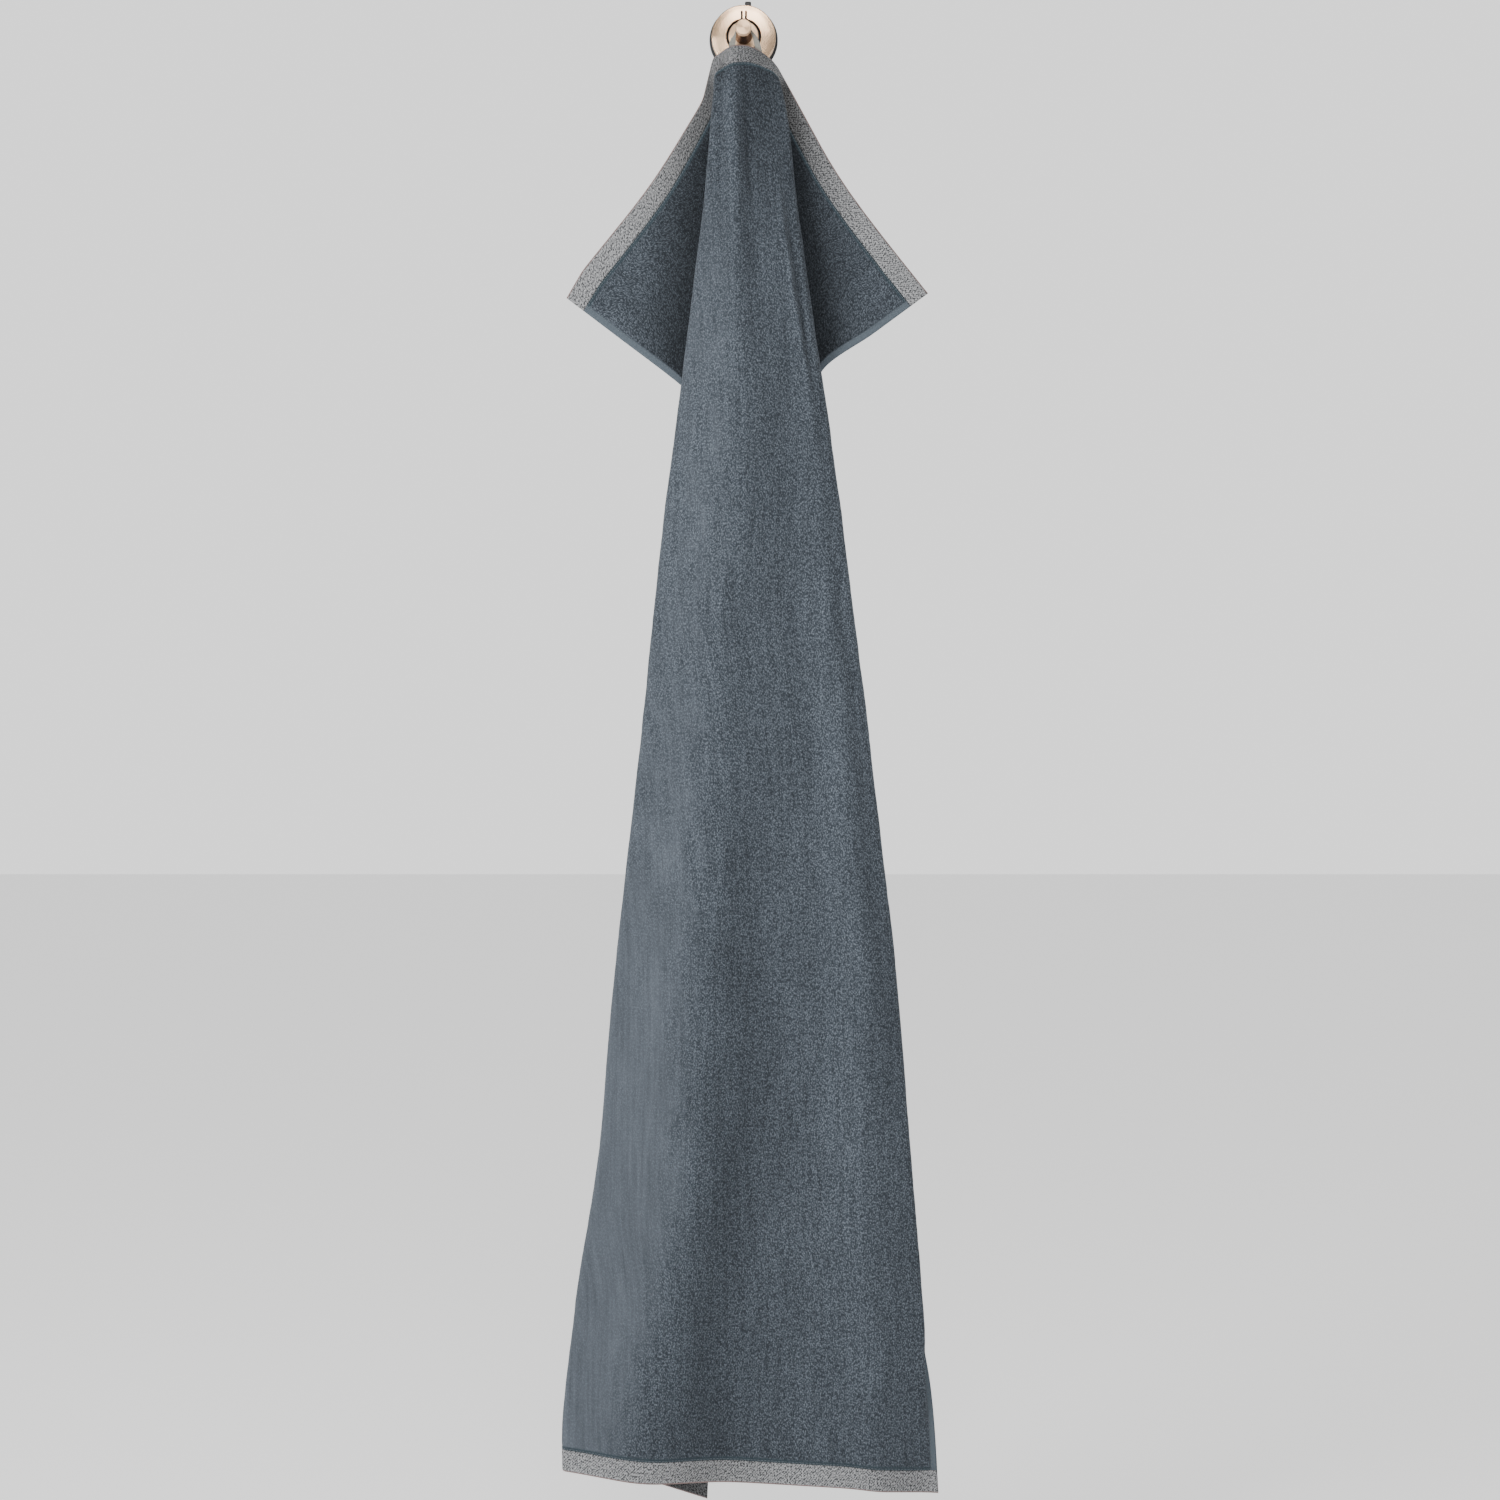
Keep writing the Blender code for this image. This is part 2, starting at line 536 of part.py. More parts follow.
def make_hook(parts, cutters, metal, rubber):
    """The hook: rubber pad, metal cover, hub and peg, all about the axis at x = 0, z = 0."""
    pad = make_round(
        "hook_pad",
        parts,
        rubber,
        [
            (0.0, PAD_THICKNESS),
            (PAD_BODY_RADIUS, PAD_THICKNESS),
            (PAD_BODY_RADIUS + 0.0012, 0.0034),
            (PAD_RADIUS, PAD_LIP_THICKNESS),
            (PAD_RADIUS, 0.0),
            (0.0, 0.0),
        ],
    )
    tab = make_box(
        "pad_tab",
        cutters,
        (TAB_X - TAB_WIDTH / 2, -TAB_THICKNESS, PAD_RADIUS - 0.006),
        (TAB_X + TAB_WIDTH / 2, -0.0002, TAB_TOP),
    )
    rounding = tab.modifiers.new("rounding", "BEVEL")
    rounding.width = 0.0014
    rounding.segments = 3
    cut(pad, tab, "UNION")

    cover_side = rounded_corner(COVER_RADIUS, COVER_RIM_DEPTH, COVER_EDGE_ROUND)
    cover = make_round(
        "hook_cover",
        parts,
        metal,
        [
            (0.0, HUB_WELL_DEPTH),
            (HUB_WELL_RADIUS, HUB_WELL_DEPTH),
            (HUB_WELL_RADIUS, COVER_FACE_DEPTH - 0.0003),
            (HUB_WELL_RADIUS + 0.0004, COVER_FACE_DEPTH),
            (0.5 * (HUB_WELL_RADIUS + COVER_RADIUS), COVER_FACE_DEPTH - 0.0004),
            *cover_side,
            (COVER_RADIUS, COVER_BACK),
            (0.0, COVER_BACK),
        ],
    )
    for number, offset in enumerate(SLOT_OFFSETS):
        slot = make_box(
            f"cover_slot_{number}",
            cutters,
            (offset - SLOT_WIDTH / 2, -COVER_FACE_DEPTH - 0.002, SLOT_BOTTOM),
            (offset + SLOT_WIDTH / 2, -SLOT_FLOOR_DEPTH, SLOT_TOP),
        )
        cut(cover, slot)

    make_round(
        "hook_hub",
        parts,
        metal,
        [
            (0.0, HUB_FACE_DEPTH),
            *rounded_corner(HUB_RADIUS, HUB_FACE_DEPTH, HUB_EDGE_ROUND),
            (HUB_RADIUS, HUB_WELL_DEPTH + HUB_GAP),
            (0.0, HUB_WELL_DEPTH + HUB_GAP),
        ],
    )
    peg_foot = HUB_FACE_DEPTH + HUB_GAP
    make_round(
        "hook_peg",
        parts,
        metal,
        [
            (0.0, PEG_END_DEPTH),
            *rounded_corner(PEG_HEAD_RADIUS, PEG_END_DEPTH, 0.0012),
            (PEG_HEAD_RADIUS, PEG_HEAD_BACK_DEPTH + 0.0006),
            (PEG_HEAD_RADIUS - 0.0006, PEG_HEAD_BACK_DEPTH),
            (PEG_NECK_RADIUS, PEG_HEAD_BACK_DEPTH - 0.0012),
            (PEG_NECK_RADIUS, PEG_NECK_DEPTH),
            (PEG_NECK_RADIUS + 0.0012, PEG_NECK_DEPTH - 0.0040),
            (PEG_FOOT_RADIUS, peg_foot + 0.0010),
            (PEG_FOOT_RADIUS, peg_foot),
            (0.0, peg_foot),
        ],
    )


# The loop's tape from its left end, behind the band, over the peg's neck to its right end.
# Columns: x, depth, drop, facing (degrees: 0 lies flat on the peg, 90 faces the viewer).
TAPE_PATH = (
    (-0.0112, 0.0436, 0.0290, 90.0),
    (-0.0112, 0.0436, 0.0190, 90.0),
    (-0.0104, 0.0405, 0.0110, 55.0),
    (-0.0086, 0.0365, 0.0045, 15.0),
    (-0.0070, 0.0340, 0.0000, 0.0),
    (-0.0049, 0.0335, -0.0049, 0.0),
    (0.0000, 0.0335, -0.0070, 0.0),
    (0.0049, 0.0335, -0.0049, 0.0),
    (0.0072, 0.0340, 0.0000, 0.0),
    (0.0098, 0.0365, 0.0055, -15.0),
    (0.0127, 0.0400, 0.0130, -55.0),
    (0.0150, 0.0425, 0.0220, -85.0),
    (0.0165, 0.0425, 0.0320, -90.0),
)


def make_loop(parts, tape_material):
    """The tape loop as a swept flat strip."""
    table = np.array(TAPE_PATH)
    steps_per_row = 3
    at = np.linspace(0, len(table) - 1, (len(table) - 1) * steps_per_row + 1)
    rows = np.arange(len(table), dtype=float)
    x, depth, drop, facing = (smooth_column(rows, table[:, c], at) for c in range(4))
    centre = np.stack((x, -depth, -drop), axis=1)
    ahead = np.gradient(centre, axis=0)
    ahead /= np.linalg.norm(ahead, axis=1, keepdims=True)
    outward = np.cross(ahead, np.array([0.0, -1.0, 0.0]))
    outward /= np.linalg.norm(outward, axis=1, keepdims=True)
    along_peg = np.cross(outward, ahead)
    angle = np.radians(facing)[:, None]
    wide = along_peg * np.cos(angle) + outward * np.sin(angle)
    thick = np.cross(ahead, wide)
    corners = []
    for side, face in ((-1, -1), (1, -1), (1, 1), (-1, 1)):
        corners.append(centre + side * wide * TAPE_WIDTH / 2 + face * thick * TAPE_THICKNESS / 2)
    points = np.stack(corners, axis=1).reshape(-1, 3)
    faces = []
    last = len(centre) - 1
    for ring in range(last):
        for corner in range(4):
            following = (corner + 1) % 4
            faces.append(
                (
                    ring * 4 + corner,
                    ring * 4 + following,
                    ring * 4 + 4 + following,
                    ring * 4 + 4 + corner,
                )
            )
    faces.append((3, 2, 1, 0))
    faces.append(tuple(last * 4 + corner for corner in range(4)))
    mesh = bpy.data.meshes.new("hanging_loop")
    mesh.from_pydata([tuple(p) for p in points], [], faces)
    loop = bpy.data.objects.new("hanging_loop", mesh)
    parts.objects.link(loop)
    mesh.materials.append(tape_material)
    return loop


def main():
    clear_scene()
    parts = new_collection("bath_towel_on_hook")
    cutters = new_collection("cutters")
    terry = make_material("terry", (0.060, 0.078, 0.100), 1.0)
    melange = make_material("melange_band", (0.19, 0.20, 0.21), 0.9)
    tape = make_material("loop_tape", (0.36, 0.38, 0.36), 0.9)
    metal = make_material("brushed_metal", (0.72, 0.66, 0.58), 0.3, 1.0)
    rubber = make_material("pad_rubber", (0.015, 0.015, 0.015), 0.6)

    positions = section_samples(2, 2, 1)
    panel_rows = row_positions(BAND_WIDTH, FLAT_LENGTH - BAND_WIDTH, 38, 1.35)
    make_sheet("towel_panel", parts, terry, positions, panel_rows, TERRY_THICKNESS)
    top_rows = row_positions(0.0, BAND_WIDTH - GATHERED_SEAM_GAP, 2, 1.0)
    make_sheet("end_band_top", parts, melange, positions, top_rows, BAND_THICKNESS)
    bottom_rows = row_positions(FLAT_LENGTH - BAND_WIDTH + SEAM_GAP, FLAT_LENGTH, 1, 1.0)
    make_sheet("end_band_bottom", parts, melange, positions, bottom_rows, BAND_THICKNESS)
    make_loop(parts, tape)
    make_hook(parts, cutters, metal, rubber)


main()
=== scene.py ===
"""The look of a bath towel that hangs from a round wall hook by the tape loop of its short end.

Metres, +Z up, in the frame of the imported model: the wall is the plane y = 0 and the hook's pad is
centred on the origin. The towel is one sheet, FLAT_WIDTH across and FLAT_LENGTH along. Its folds
follow the same lines as its solid's, with the pile, hems, bands and stitching laid on them.
"""

import math

import bpy
import numpy as np
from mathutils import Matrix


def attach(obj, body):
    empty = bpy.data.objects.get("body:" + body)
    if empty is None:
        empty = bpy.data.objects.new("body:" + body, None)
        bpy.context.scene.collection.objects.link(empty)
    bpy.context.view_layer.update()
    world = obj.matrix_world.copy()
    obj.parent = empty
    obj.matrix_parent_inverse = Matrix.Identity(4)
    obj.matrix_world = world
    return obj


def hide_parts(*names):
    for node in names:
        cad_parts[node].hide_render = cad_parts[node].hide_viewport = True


FLAT_WIDTH = 0.670
FLAT_LENGTH = 1.400
BAND_WIDTH = 0.0215
SEAM_GAP = 0.0003
TERRY_THICKNESS = 0.0030
BAND_THICKNESS = 0.0020
HEM_WIDTH = 0.0070
HEM_THICKNESS = 0.0022
SHEET_ROWS = 264
SHEET_COLUMNS = 165
BAND_ROWS = 10
# How much closer the sheet's rows lie near the hook.
ROW_CROWDING = 1.2

# The camera: the photograph is 1500 x 1500.
CAMERA_PLACE = (0.0064, -2.400, -0.7138)
CAMERA_LENS_MM = 57.24
SENSOR_MM = 36.0

FLOOR_DROP = 1.62
FLOOR_SIZE = 30.0
FLOOR_COLOUR = (0.9, 0.9, 0.9)

# Lines that run down the towel, from the hook edge to the lower edge.
# Columns: along (flat distance from the hook edge), across (flat distance from the middle, which
# the two side edges have in FLAT_WIDTH), x, depth (distance from the wall), drop (distance below
# the hook's centre) and, for the folds, turn (the fold's radius where its layers overlap).
LEFT_SIDE = (
    (0.000, -0.1768, 0.0180, 0.2624),
    (0.070, -0.1210, 0.0175, 0.3048),
    (0.141, -0.0645, 0.0145, 0.3473),
    (0.157, -0.0520, 0.0115, 0.3575),
    (0.170, -0.0430, 0.0095, 0.3670),
    (0.200, -0.0225, 0.0098, 0.3910),
    (0.280, -0.0020, 0.0112, 0.4560),
    (0.450, -0.0060, 0.0120, 0.6120),
    (0.800, -0.0160, 0.0120, 0.9300),
    (1.150, -0.0270, 0.0130, 1.2450),
    (1.400, -0.0362, 0.0180, 1.4614),
)
LEFT_OUTER_FOLD = (
    (0.000, -0.300, -0.1606, 0.0190, 0.2348, 0.0040),
    (0.070, -0.310, -0.1071, 0.0200, 0.2840, 0.0040),
    (0.141, -0.322, -0.0600, 0.0188, 0.3350, 0.0044),
    (0.160, -0.322, -0.0555, 0.0192, 0.3500, 0.0046),
    (0.175, -0.318, -0.0560, 0.0192, 0.3640, 0.0048),
    (0.200, -0.305, -0.0565, 0.0190, 0.3850, 0.0050),
    (0.280, -0.290, -0.0585, 0.0180, 0.4500, 0.0052),
    (0.450, -0.270, -0.0740, 0.0175, 0.6000, 0.0052),
    (0.800, -0.255, -0.1000, 0.0175, 0.9200, 0.0052),
    (1.150, -0.245, -0.1200, 0.0185, 1.2200, 0.0054),
    (1.400, -0.240, -0.1280, 0.0200, 1.4360, 0.0060),
)
LEFT_WING = (
    (0.000, -0.190, -0.0915, 0.0250, 0.1510),
    (0.022, -0.194, -0.0745, 0.0246, 0.1640),
    (0.070, -0.205, -0.0480, 0.0240, 0.2060),
    (0.141, -0.215, -0.0300, 0.0230, 0.2680),
    (0.280, -0.220, -0.0300, 0.0230, 0.3970),
    (0.450, -0.218, -0.0360, 0.0230, 0.5550),
    (0.800, -0.217, -0.0520, 0.0230, 0.8800),
    (1.150, -0.215, -0.0780, 0.0245, 1.2000),
    (1.400, -0.212, -0.1010, 0.0260, 1.4310),
)
LEFT_INNER_FOLD = (
    (0.000, -0.085, -0.0410, 0.0330, 0.0700, 0.0044),
    (0.022, -0.092, -0.0300, 0.0318, 0.0830, 0.0044),
    (0.048, -0.104, -0.0190, 0.0300, 0.1110, 0.0044),
    (0.070, -0.115, -0.0115, 0.0293, 0.1370, 0.0048),
    (0.141, -0.130, -0.0040, 0.0280, 0.2120, 0.0052),
    (0.280, -0.150, -0.0020, 0.0280, 0.3450, 0.0050),
    (0.450, -0.165, 0.0030, 0.0280, 0.5100, 0.0050),
    (0.800, -0.178, -0.0050, 0.0290, 0.8450, 0.0060),
    (1.150, -0.185, -0.0350, 0.0310, 1.1850, 0.0062),
    (1.400, -0.185, -0.0750, 0.0330, 1.4270, 0.0070),
)
LEFT_FOLD = (
    (0.000, -0.032, -0.0315, 0.0400, 0.0290, 0.0044),
    (0.022, -0.034, -0.0290, 0.0442, 0.0455, 0.0046),
    (0.048, -0.036, -0.0310, 0.0450, 0.0740, 0.0050),
    (0.070, -0.037, -0.0330, 0.0448, 0.0960, 0.0060),
    (0.141, -0.040, -0.0388, 0.0420, 0.1660, 0.0078),
    (0.240, -0.044, -0.0512, 0.0410, 0.2640, 0.0080),
    (0.350, -0.046, -0.0650, 0.0410, 0.3730, 0.0080),
    (0.500, -0.050, -0.0830, 0.0415, 0.5210, 0.0082),
    (0.700, -0.056, -0.1035, 0.0425, 0.7190, 0.0085),
    (0.900, -0.062, -0.1260, 0.0440, 0.9180, 0.0088),
    (1.100, -0.066, -0.1440, 0.0450, 1.1180, 0.0088),
    (1.250, -0.071, -0.1670, 0.0470, 1.2690, 0.0090),
    (1.378, -0.075, -0.1796, 0.0490, 1.4010, 0.0090),
    (1.400, -0.075, -0.1792, 0.0490, 1.4230, 0.0090),
)
RIGHT_FOLD = (
    (0.000, 0.034, 0.0355, 0.0380, 0.0385, 0.0044),
    (0.022, 0.037, 0.0345, 0.0445, 0.0490, 0.0044),
    (0.030, 0.038, 0.0372, 0.0448, 0.0570, 0.0044),
    (0.060, 0.041, 0.0432, 0.0448, 0.0870, 0.0046),
    (0.080, 0.043, 0.0462, 0.0442, 0.1070, 0.0052),
    (0.141, 0.052, 0.0528, 0.0420, 0.1740, 0.0075),
    (0.240, 0.078, 0.0668, 0.0410, 0.2700, 0.0085),
    (0.350, 0.107, 0.0830, 0.0410, 0.3800, 0.0090),
    (0.500, 0.140, 0.1030, 0.0410, 0.5300, 0.0090),
    (0.700, 0.185, 0.1280, 0.0420, 0.7330, 0.0085),
    (0.900, 0.224, 0.1510, 0.0440, 0.9360, 0.0075),
    (1.080, 0.256, 0.1650, 0.0460, 1.1180, 0.0060),
    (1.200, 0.285, 0.1755, 0.0480, 1.2400, 0.0045),
    (1.260, 0.297, 0.1795, 0.0490, 1.3020, 0.0042),
    (1.300, 0.303, 0.1800, 0.0492, 1.3430, 0.0040),
    (1.340, 0.308, 0.1775, 0.0492, 1.3840, 0.0040),
    (1.400, 0.316, 0.1765, 0.0490, 1.4455, 0.0040),
)
RIGHT_INNER_FOLD = (
    (0.000, 0.080, 0.0500, 0.0335, 0.0650, 0.0044),
    (0.022, 0.084, 0.0370, 0.0325, 0.0815, 0.0044),
    (0.030, 0.085, 0.0350, 0.0320, 0.0900, 0.0044),
    (0.060, 0.092, 0.0300, 0.0308, 0.1200, 0.0044),
    (0.080, 0.097, 0.0285, 0.0295, 0.1450, 0.0048),
    (0.141, 0.115, 0.0200, 0.0280, 0.2070, 0.0050),
    (0.280, 0.160, 0.0140, 0.0270, 0.3450, 0.0055),
    (0.450, 0.205, 0.0150, 0.0265, 0.5050, 0.0055),
    (0.700, 0.255, 0.0330, 0.0285, 0.7500, 0.0055),
    (0.900, 0.280, 0.0750, 0.0325, 0.9450, 0.0048),
    (1.080, 0.296, 0.1240, 0.0375, 1.1230, 0.0044),
    (1.200, 0.308, 0.1570, 0.0395, 1.2420, 0.0040),
    (1.260, 0.315, 0.1710, 0.0405, 1.3030, 0.0040),
    (1.300, 0.318, 0.1785, 0.0420, 1.3435, 0.0040),
    (1.340, 0.322, 0.1830, 0.0445, 1.3843, 0.0040),
    (1.400, 0.327, 0.1855, 0.0465, 1.4465, 0.0040),
)
RIGHT_WING = (
    (0.000, 0.190, 0.1010, 0.0250, 0.1562),
    (0.022, 0.194, 0.0840, 0.0247, 0.1690),
    (0.070, 0.200, 0.0610, 0.0240, 0.2080),
    (0.141, 0.215, 0.0480, 0.0220, 0.2720),
    (0.280, 0.245, 0.0400, 0.0215, 0.3990),
    (0.450, 0.270, 0.0500, 0.0210, 0.5580),
    (0.700, 0.295, 0.0740, 0.0230, 0.7920),
    (0.900, 0.308, 0.1050, 0.0275, 0.9700),
    (1.080, 0.316, 0.1380, 0.0335, 1.1370),
    (1.200, 0.323, 0.1620, 0.0358, 1.2470),
    (1.260, 0.326, 0.1755, 0.0368, 1.3060),
    (1.300, 0.328, 0.1820, 0.0395, 1.3440),
    (1.340, 0.329, 0.1862, 0.0435, 1.3846),
    (1.400, 0.331, 0.1888, 0.0460, 1.4469),
)
RIGHT_SIDE = (
    (0.000, 0.1842, 0.0180, 0.2578),
    (0.066, 0.1310, 0.0180, 0.2970),
    (0.132, 0.0779, 0.0180, 0.3361),
    (0.180, 0.0640, 0.0170, 0.3700),
    (0.240, 0.0630, 0.0160, 0.4220),
    (0.350, 0.0730, 0.0155, 0.5200),
    (0.500, 0.0900, 0.0155, 0.6560),
    (0.700, 0.1120, 0.0175, 0.8350),
    (0.900, 0.1340, 0.0225, 1.0060),
    (1.080, 0.1530, 0.0295, 1.1530),
    (1.200, 0.1680, 0.0345, 1.2530),
    (1.260, 0.1790, 0.0355, 1.3090),
    (1.300, 0.1850, 0.0385, 1.3450),
    (1.340, 0.1888, 0.0430, 1.3850),
    (1.400, 0.1922, 0.0450, 1.4473),
)

# The soft waves of the front layer: two ridges, a middle swell and two valleys between the folds.
# Columns: along, then x and depth of each line.
FRONT_LINES = ("left_ridge", "left_valley", "middle", "right_valley", "right_ridge")
FRONT_WAVES = (
    (0.000, -0.0120, 0.0465, 0.0020, 0.0462, 0.0125, 0.0460, 0.0205, 0.0450, 0.0280, 0.0438),
    (0.034, -0.0114, 0.0535, 0.0044, 0.0470, 0.0143, 0.0495, 0.0212, 0.0490, 0.0280, 0.0480),
    (0.103, -0.0074, 0.0560, 0.0074, 0.0465, 0.0182, 0.0500, 0.0251, 0.0520, 0.0320, 0.0515),
    (0.202, -0.0054, 0.0575, 0.0113, 0.0485, 0.0241, 0.0520, 0.0335, 0.0545, 0.0430, 0.0535),
    (0.350, -0.0054, 0.0595, 0.0182, 0.0545, 0.0340, 0.0520, 0.0508, 0.0475, 0.0660, 0.0520),
    (0.449, -0.0054, 0.0605, 0.0182, 0.0540, 0.0340, 0.0510, 0.0538, 0.0465, 0.0765, 0.0530),
    (0.548, -0.0252, 0.0625, 0.0044, 0.0515, 0.0311, 0.0535, 0.0528, 0.0500, 0.0834, 0.0575),
    (0.646, -0.0311, 0.0635, 0.0084, 0.0485, 0.0429, 0.0575, 0.0676, 0.0520, 0.0972, 0.0600),
    (0.745, -0.0400, 0.0650, 0.0123, 0.0450, 0.0528, 0.0580, 0.0755, 0.0560, 0.1051, 0.0620),
    (0.943, -0.0578, 0.0690, 0.0133, 0.0420, 0.0607, 0.0570, 0.0814, 0.0540, 0.1199, 0.0650),
    (1.140, -0.0677, 0.0740, -0.0015, 0.0400, 0.0558, 0.0560, 0.0854, 0.0580, 0.1170, 0.0665),
    (1.238, -0.0785, 0.0790, -0.0133, 0.0400, 0.0676, 0.0565, 0.0953, 0.0580, 0.1269, 0.0665),
    (1.337, -0.0924, 0.0815, -0.0183, 0.0425, 0.0676, 0.0560, 0.1002, 0.0580, 0.1269, 0.0640),
    (1.400, -0.0973, 0.0820, -0.0212, 0.0460, 0.0706, 0.0570, 0.1051, 0.0590, 0.1328, 0.0635),
)
# Drops of those lines, at the flat distances of FRONT_DROP_PLACES from the hook edge.
FRONT_DROP_PLACES = (0.0, 0.0215, 0.100, 1.400)
FRONT_DROPS = (
    (0.0185, 0.0375, 0.1167, 1.4290),
    (0.0180, 0.0350, 0.1148, 1.4355),
    (0.0215, 0.0380, 0.1177, 1.4375),
    (0.0265, 0.0410, 0.1206, 1.4390),
    (0.0325, 0.0440, 0.1236, 1.4410),
)

# Shape of a fold's control points: their angles round the fold, how far out they lie so that the
# cloth itself has the fold's radius, how far apart they lie where the cloth isn't folded, and the
# overlap of the layers, in fold radii, from which on the fold is a full round.
FOLD_ANGLES = (-90, -45, 0, 45, 90)
FOLD_OVERSHOOT = 1.109
FOLD_SPREAD = 0.2
FULL_FOLD_OVERLAP = 2.5

# Sizes of the hook. COVER_DISH columns: distance from the middle of the cover's face ring, and how
# far the face has fallen back there.
PAD_RADIUS = 0.0344
PAD_LIP_THICKNESS = 0.0016
PAD_BODY_RADIUS = 0.0300
PAD_SLOPE_WIDTH = 0.0012
PAD_SLOPE_DEPTH = 0.0034
PAD_THICKNESS = 0.0055
TAB_WIDTH = 0.0064
TAB_X = 0.0044
TAB_TOP = 0.0385
TAB_THICKNESS = 0.0040
TAB_INSET = 0.006
TAB_BACK = 0.0002
TAB_ROUND = 0.0014
COVER_RADIUS = 0.0321
COVER_BACK = 0.0060
COVER_RIM_DEPTH = 0.0135
COVER_FACE_DEPTH = 0.0150
COVER_EDGE_ROUND = 0.0014
COVER_DISH = ((-0.004, 0.0001), (0.0, 0.0004), (0.004, 0.0009))
SMALL_EDGE = 0.0004
HUB_WELL_RADIUS = 0.0174
HUB_WELL_DEPTH = 0.0110
HUB_RADIUS = 0.0151
HUB_FACE_DEPTH = 0.0162
HUB_EDGE_ROUND = 0.0010
HUB_GAP = 0.0006
SLOT_OFFSETS = (-0.0018, 0.0024)
SLOT_WIDTH = 0.0021
SLOT_BOTTOM = 0.0168
SLOT_TOP = 0.0258
SLOT_FLOOR_DEPTH = 0.0132
SLOT_ROUND = 0.0003
SLOT_CUT_ABOVE = 0.002
PEG_FOOT_RADIUS = 0.0088
PEG_NECK_RADIUS = 0.0057
PEG_HEAD_RADIUS = 0.0079
PEG_NECK_DEPTH = 0.0270
PEG_HEAD_BACK_DEPTH = 0.0400
PEG_END_DEPTH = 0.0460
PEG_EDGE_ROUND = 0.0012
PEG_NECK_FLARE = (0.0012, 0.0040)
PEG_FOOT_HEIGHT = 0.0010
# Depths and radii closer than this count as the same.
NEAR = 0.0001
TAPE_WIDTH = 0.0060
TAPE_THICKNESS = 0.0010
TAPE_STEPS = 8
# Corners of the tape's section, as shares of half its width and half its thickness.
TAPE_SECTION = (
    (-0.93, -1.0),
    (0.93, -1.0),
    (1.0, -0.5),
    (1.0, 0.5),
    (0.93, 1.0),
    (-0.93, 1.0),
    (-1.0, 0.5),
    (-1.0, -0.5),
)

# Position of the front's middle line along the section, the fine steps that measure the cloth,
# and the distances from a side edge at which the hem has its own columns.
MIDDLE_POSITION = 24
FINE_STEPS = 12
EDGE_CELLS = (0.0, 0.0020, 0.0040, 0.0060, 0.0072, 0.0086, 0.0104)

# Marks of folding across the front. Columns: along, from and to across, depth and width.
PRESS_MARKS = (
    (0.450, -0.070, -0.010, 0.0008, 0.0020),
    (0.871, -0.110, 0.020, 0.0006, 0.0022),
)

# Soft creases of the front. Columns: along, from and to; position along the section at its two
# ends; height (below 0 for a trough) and half width.
CREASES = (
    (0.020, 0.170, 18.4, 18.6, -0.0022, 0.0022),
    (0.024, 0.200, 19.7, 20.0, 0.0034, 0.0044),
    (0.024, 0.170, 21.6, 21.9, -0.0022, 0.0038),
    (0.050, 0.260, 25.0, 25.6, -0.0014, 0.0024),
    (0.090, 0.230, 26.6, 26.9, -0.0013, 0.0020),
    (0.110, 0.360, 27.6, 28.2, 0.0026, 0.0040),
    (0.120, 0.350, 29.3, 29.6, -0.0020, 0.0050),
)
CREASE_FADE = 0.35

# Broad soft patches of painted light and shade, where the pile is painted lighter or darker.
# Columns: along and its reach, position along the section and its reach, gain.
PAINTED_SHADING_PATCHES = (
    (0.040, 0.120, 24.5, 7.0, -0.46),
    (0.000, 0.030, 24.0, 6.0, -0.14),
    (0.010, 0.034, 14.0, 2.4, -0.42),
    (0.022, 0.016, 17.6, 1.5, -0.38),
    (0.010, 0.034, 35.0, 2.2, -0.34),
    (0.075, 0.060, 19.8, 0.8, 0.36),
    (0.240, 0.090, 27.9, 0.5, 0.34),
    (0.260, 0.110, 29.6, 0.6, -0.16),
    (0.450, 0.330, 18.4, 2.4, 0.20),
    (1.080, 0.330, 20.4, 0.6, 0.22),
    (0.620, 0.200, 31.0, 1.6, 0.22),
    (0.680, 0.260, 20.8, 1.4, 0.22),
    (0.700, 0.250, 27.0, 2.2, 0.20),
    (1.100, 0.220, 27.0, 2.0, 0.16),
    (1.100, 0.480, 21.9, 1.2, -0.17),
    (1.380, 0.060, 21.0, 2.2, -0.12),
    (1.400, 0.060, 1.5, 3.0, -0.80),
    (1.395, 0.030, 30.0, 4.0, -0.18),
)

# The sides of the front layer: x of its left side at WING_SHADE_TOP below the hook and how far it
# leans out to the metre, then the same for its right side. Beside it the wings get painted shadow.
FRONT_SIDES = (-0.036, 0.119, 0.046, 0.146)
FRONT_REACH = (8.5, 12.5)
WING_SHADE = 0.62
WING_SHADE_TOP = 0.110
WING_SHADE_END = (0.220, 0.320)
WING_SHADE_REACH = 0.040

# Positions along the section, and flat distances, over which the brushed part fades in and out.
BRUSHED_START = (14.0, 15.5)
BRUSHED_END = (18.8, 21.2)
BRUSHED_TOP = (0.060, 0.220)
BRUSHED_STRENGTH = 0.72
# The share of it on the upper part, where it grows to the full, and how far, in positions, its
# right side leans to the left, and where.
BRUSHED_UPPER = 0.40
BRUSHED_FULL_AT = (0.550, 1.150)
BRUSHED_LEAN = 0.7
BRUSHED_LEAN_AT = (1.100, 1.400)

